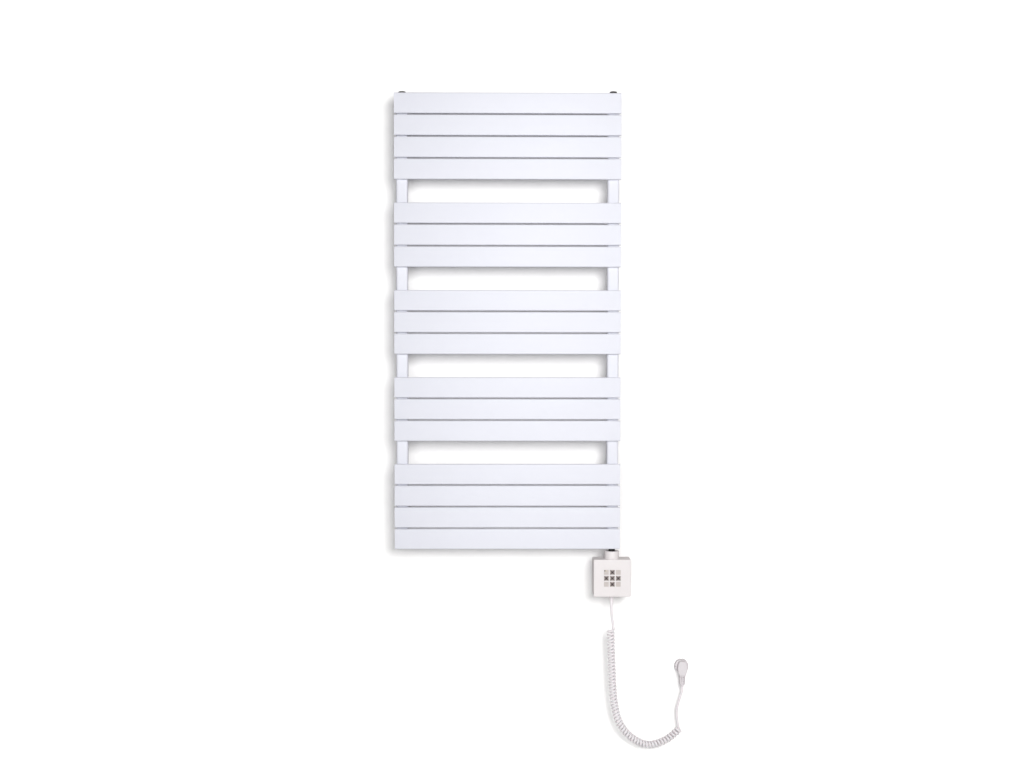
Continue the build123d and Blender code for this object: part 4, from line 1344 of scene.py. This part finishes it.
    def hump_and_tail(self) -> Array:
        """Rounded slices stacked downwards: width, front, back and corner follow the height.

        Returns:
            Closed grid of points, with the tail's slots pressed in.
        """
        z = self.heights()
        ends = [self.sleeve_end, self.sleeve_top, self.sleeve_top + 0.0003, self.tail_end]
        sleeve = [self.sleeve_radius, self.sleeve_radius, 0.0055, self.tail_deep]
        front = np.interp(z, [*ends, self.neck, self.shoulder],
                          [*sleeve, self.tail_deep, self.hump_deep])
        back = np.interp(z, ends, sleeve)
        corner = np.interp(z, [self.sleeve_top, self.tail_end, self.neck, -0.02],
                           [self.sleeve_radius - 0.00001, 0.003, 0.003, 0.0024])
        up = np.clip((z - self.crown) / self.crown_round + 1, 0.0, 0.999)
        close = self.crown_inset * (1 - np.sqrt(1 - up ** 2))
        half, front = self.half_widths(z) - close, front - close
        bend = quarter_turn(7)
        edge = np.linspace(1.0, -1.0, 57)[1:-1]
        angles = np.concatenate([bend, np.full(len(edge), np.pi / 2), bend + np.pi / 2,
                                 bend + np.pi, np.full(len(edge), 1.5 * np.pi),
                                 bend + 1.5 * np.pi])
        side = np.concatenate([np.ones(7), edge, -np.ones(14), -edge, np.ones(7)])
        ahead = np.repeat([1.0, -1.0], 14 + len(edge))
        depth = np.where(ahead > 0, front[:, None], back[:, None])
        r = corner[:, None]
        x = side * (half[:, None] - r) + r * np.cos(angles)
        out = ahead * (depth - r) + r * np.sin(angles)
        out -= ahead * self.slot_depth * self.slots(x, z[:, None], np.abs(np.sin(angles)) > 0.999)
        rows = np.stack([self.x + x, self.tail_y - out,
                         self.z + np.broadcast_to(z[:, None], x.shape)], axis=-1)
        return capped(rows)

    def slots(self, x: Array, z: Array, flat: Array) -> Array:
        """Share of the slot depth at a point: 1 inside a slot, 0 outside, steep between.

        Args:
            x: Distance from the middle.
            z: Height.
            flat: True on the flat front and back.

        Returns:
            The share at each point.
        """
        beside = self.slot_half - np.abs(np.abs(x) - self.slot_side)
        row = np.clip(np.round((z - self.slot_low) / self.slot_pitch), 0, 3)
        above = self.slot_tall - np.abs(z - self.slot_low - row * self.slot_pitch)
        return np.clip(beside / 0.0003 + 0.5, 0, 1) * np.clip(above / 0.0004 + 0.5, 0, 1) * flat

    def pin(self, side: int) -> Array:
        """Contact pin with a rounded tip.

        Args:
            side: -1 for the left pin, 1 for the right one.

        Returns:
            Closed grid of points.
        """
        profile = [(0.0, -self.pin_inside), (self.pin_radius, -self.pin_inside),
                   *eased_rim(self.pin_radius, self.pin_reach, self.pin_tip, 9),
                   (0.0, self.pin_reach)]
        start = (self.x + side * self.pin_side, self.back, self.z)
        return lathe(profile, start, Direction.WALL, 40)

    def build(self) -> list[bpy.types.Object]:
        """Make the plug.

        Returns:
            Its pieces, for the lead that ends in it.
        """
        body = make_piece("plug_moulding", [self.base(), self.hump_and_tail()], PLUG_WHITE,
                          stands_for=("plug_body",), crease=40.0)
        pins = make_piece("plug_contact_pins", [self.pin(-1), self.pin(1)], NICKEL,
                          stands_for=("plug_pins",))
        clips = polished_copy("plug_earth_clips", "plug_side_contacts", NICKEL, easing=0.0002)
        return [body, pins, clips]


@dataclass
class Studio:
    """Camera, backdrop, floor and soft lights.

    Attributes:
        place: Camera's place.
        lens: Focal length on a 36 mm sensor.
        pitch: Camera's tilt in degrees.
        heading: Its turn about the upright axis in degrees.
        roll: Its roll in degrees.
        floor_height: Height of the floor.
    """

    place: Point = (-0.0198, -3.2694, -0.0660)
    lens: float = 42.19
    pitch: float = -1.759
    heading: float = -0.569
    roll: float = -0.061
    floor_height: float = -1.4

    def camera(self) -> None:
        """Put the camera where the photograph was taken from."""
        data = bpy.data.cameras.new("camera")
        data.lens = self.lens
        data.sensor_width = 36.0
        camera = linked("camera", data)
        turn = (Matrix.Rotation(math.radians(self.heading), 4, "Z")
                @ Matrix.Rotation(math.radians(self.pitch), 4, "X")
                @ Matrix.Rotation(math.radians(self.roll), 4, "Y")
                @ Matrix.Rotation(math.pi / 2, 4, "X"))
        camera.matrix_world = Matrix.Translation(self.place) @ turn
        bpy.context.scene.camera = camera

    def backdrop(self) -> None:
        """Make the backdrop, clear from behind and to the light behind it, and the floor. The white
        the camera sees on it is painted light: brighter than the grey it bounces, and brighter
        towards its edges.
        """
        left, right, foot, top, back = -3, 3, self.floor_height, 2.2, 0.0002
        wall, paint = self.sheet("wall", [(left, back, foot), (right, back, foot),
                                          (right, back, top), (left, back, top)])
        tree = paint.node_tree
        path = tree.nodes.new("ShaderNodeLightPath")
        shader = tree.nodes["Principled BSDF"]
        # Painted light: camera rays see a brighter painted white, other rays a dim grey that bounces
        # less light into the shadows.
        feed(shader, Roughness=0.9, Specular_IOR_Level=0.1, Base_Color=mixed_colour(
            tree, path.outputs["Is Camera Ray"], (0.5, 0.48, 0.47), self.painted_edge_light(tree)))
        side = tree.nodes.new("ShaderNodeNewGeometry")
        clear = tree.nodes.new("ShaderNodeBsdfTransparent")
        either = tree.nodes.new("ShaderNodeMath")
        either.operation = "MAXIMUM"
        tree.links.new(side.outputs["Backfacing"], either.inputs[0])
        tree.links.new(path.outputs["Is Shadow Ray"], either.inputs[1])
        feed(tree.nodes["Material Output"], Surface=mixed_shader(
            tree, either.outputs["Value"], shader.outputs["BSDF"], clear.outputs["BSDF"]))
        reach = 2 * right
        floor, stone = self.sheet("floor", [(-reach, -reach, foot), (reach, -reach, foot),
                                            (reach, reach, foot), (-reach, reach, foot)])
        feed(stone.node_tree.nodes["Principled BSDF"], Base_Color=(0.6, 0.6, 0.6, 1.0),
             Roughness=0.8)

    @staticmethod
    def painted_edge_light(tree: Tree) -> Socket:
        """Painted light: a white that grows with the distance from the backdrop's middle, making up
        for the lamps' falloff towards the edges.

        Args:
            tree: The nodes of the backdrop's paint.

        Returns:
            The white.
        """
        place = tree.nodes.new("ShaderNodeTexCoord")
        distance = tree.nodes.new("ShaderNodeVectorMath")
        distance.operation = "LENGTH"
        feed(distance, Vector=place.outputs["Object"])
        return remap(tree, distance.outputs["Value"], (0.6, 1.8), (1.0, 1.6))

    @staticmethod
    def sheet(name: str, points: Sequence[Point]) -> tuple[bpy.types.Object, bpy.types.Material]:
        """Make one flat sheet of the backdrop with a paint of its own.

        Args:
            name: The sheet's name.
            points: Its four corners.

        Returns:
            The sheet and its paint.
        """
        mesh = bpy.data.meshes.new(name)
        mesh.from_pydata(points, [], [(0, 1, 2, 3)])
        paint = bpy.data.materials.new(f"{name}_paint")
        paint.use_nodes = True
        mesh.materials.append(paint)
        return linked(name, mesh), paint

    @staticmethod
    def light(name: str, place: Point, aim: Point, size: tuple[float, float], power: float,
              colour: Point = (1.0, 1.0, 1.0)) -> None:
        """Add one soft light.

        Args:
            name: The light's name.
            place: Where it stands.
            aim: The point that it faces.
            size: Its width and height in metres.
            power: Its power in watts.
            colour: Its colour.
        """
        data = bpy.data.lights.new(name, "AREA")
        data.shape = "RECTANGLE"
        data.size, data.size_y = size
        data.energy = power
        data.color = colour
        lamp = linked(name, data)
        away = np.array(place) - np.array(aim)
        away /= np.linalg.norm(away)
        side = np.cross((0.0, 0.0, 1.0), away)
        side /= np.linalg.norm(side)
        up = np.cross(away, side)
        turn = Matrix((side, up, away)).transposed().to_4x4()
        lamp.matrix_world = Matrix.Translation(place) @ turn

    @staticmethod
    def room() -> None:
        """Make the room: dim and warm as a light, pale grey where it is seen itself."""
        world = bpy.data.worlds.new("room_light")
        world.use_nodes = True
        tree = world.node_tree
        light, seen = tree.nodes["Background"], tree.nodes.new("ShaderNodeBackground")
        feed(light, Color=(1.0, 0.97, 0.94, 1.0), Strength=0.1)
        feed(seen, Color=(0.8, 0.8, 0.8, 1.0))
        path = tree.nodes.new("ShaderNodeLightPath")
        feed(tree.nodes["World Output"], Surface=mixed_shader(
            tree, path.outputs["Is Camera Ray"], light.outputs["Background"],
            seen.outputs["Background"]))
        bpy.context.scene.world = world

    def build(self) -> None:
        """Set up the camera, the backdrop, the lights and the plain colour handling."""
        self.camera()
        self.backdrop()
        aim = (0.1, 0.0, -0.1)
        self.light("main_light", (0.85, -3.6, 0.65), aim, (1.5, 1.5), 110.0, (1.0, 0.995, 0.985))
        self.light("fill_light", (-0.9, -3.6, 0.0), aim, (1.6, 1.8), 36.0, (0.985, 0.99, 1.0))
        self.light("back_light", (-0.7, 2.8, 1.1), aim, (2.0, 2.0), 20.0)
        self.room()
        bpy.context.scene.view_settings.view_transform = "Standard"


def dress_cad_nodes() -> None:
    """Give every CAD node the finish of its slot in the record."""
    by_slot = {finish.slot: finish for finish in FINISHES}
    for row in frame["record"]["subparts"]:
        node = frame["nodes"][row["node"]]
        node.data.materials.clear()
        node.data.materials.append(by_slot[row["material_slot"]].material())
    log.info("dressed %d CAD nodes", len(frame["nodes"]))


def main() -> None:
    """Build the studio and the towel rail, piece by piece."""
    logging.basicConfig(level=logging.INFO, format="%(name)s %(message)s")
    Studio().build()
    plug_pieces = Plug().build()
    MainsLead().build(plug_pieces)
    dress_cad_nodes()
    Slats().build()
    Uprights().build()
    EndPlugs().build()
    WallBrackets().build()
    ElementCollar().build()
    Controller().build()


if __name__ == "__main__":
    main()
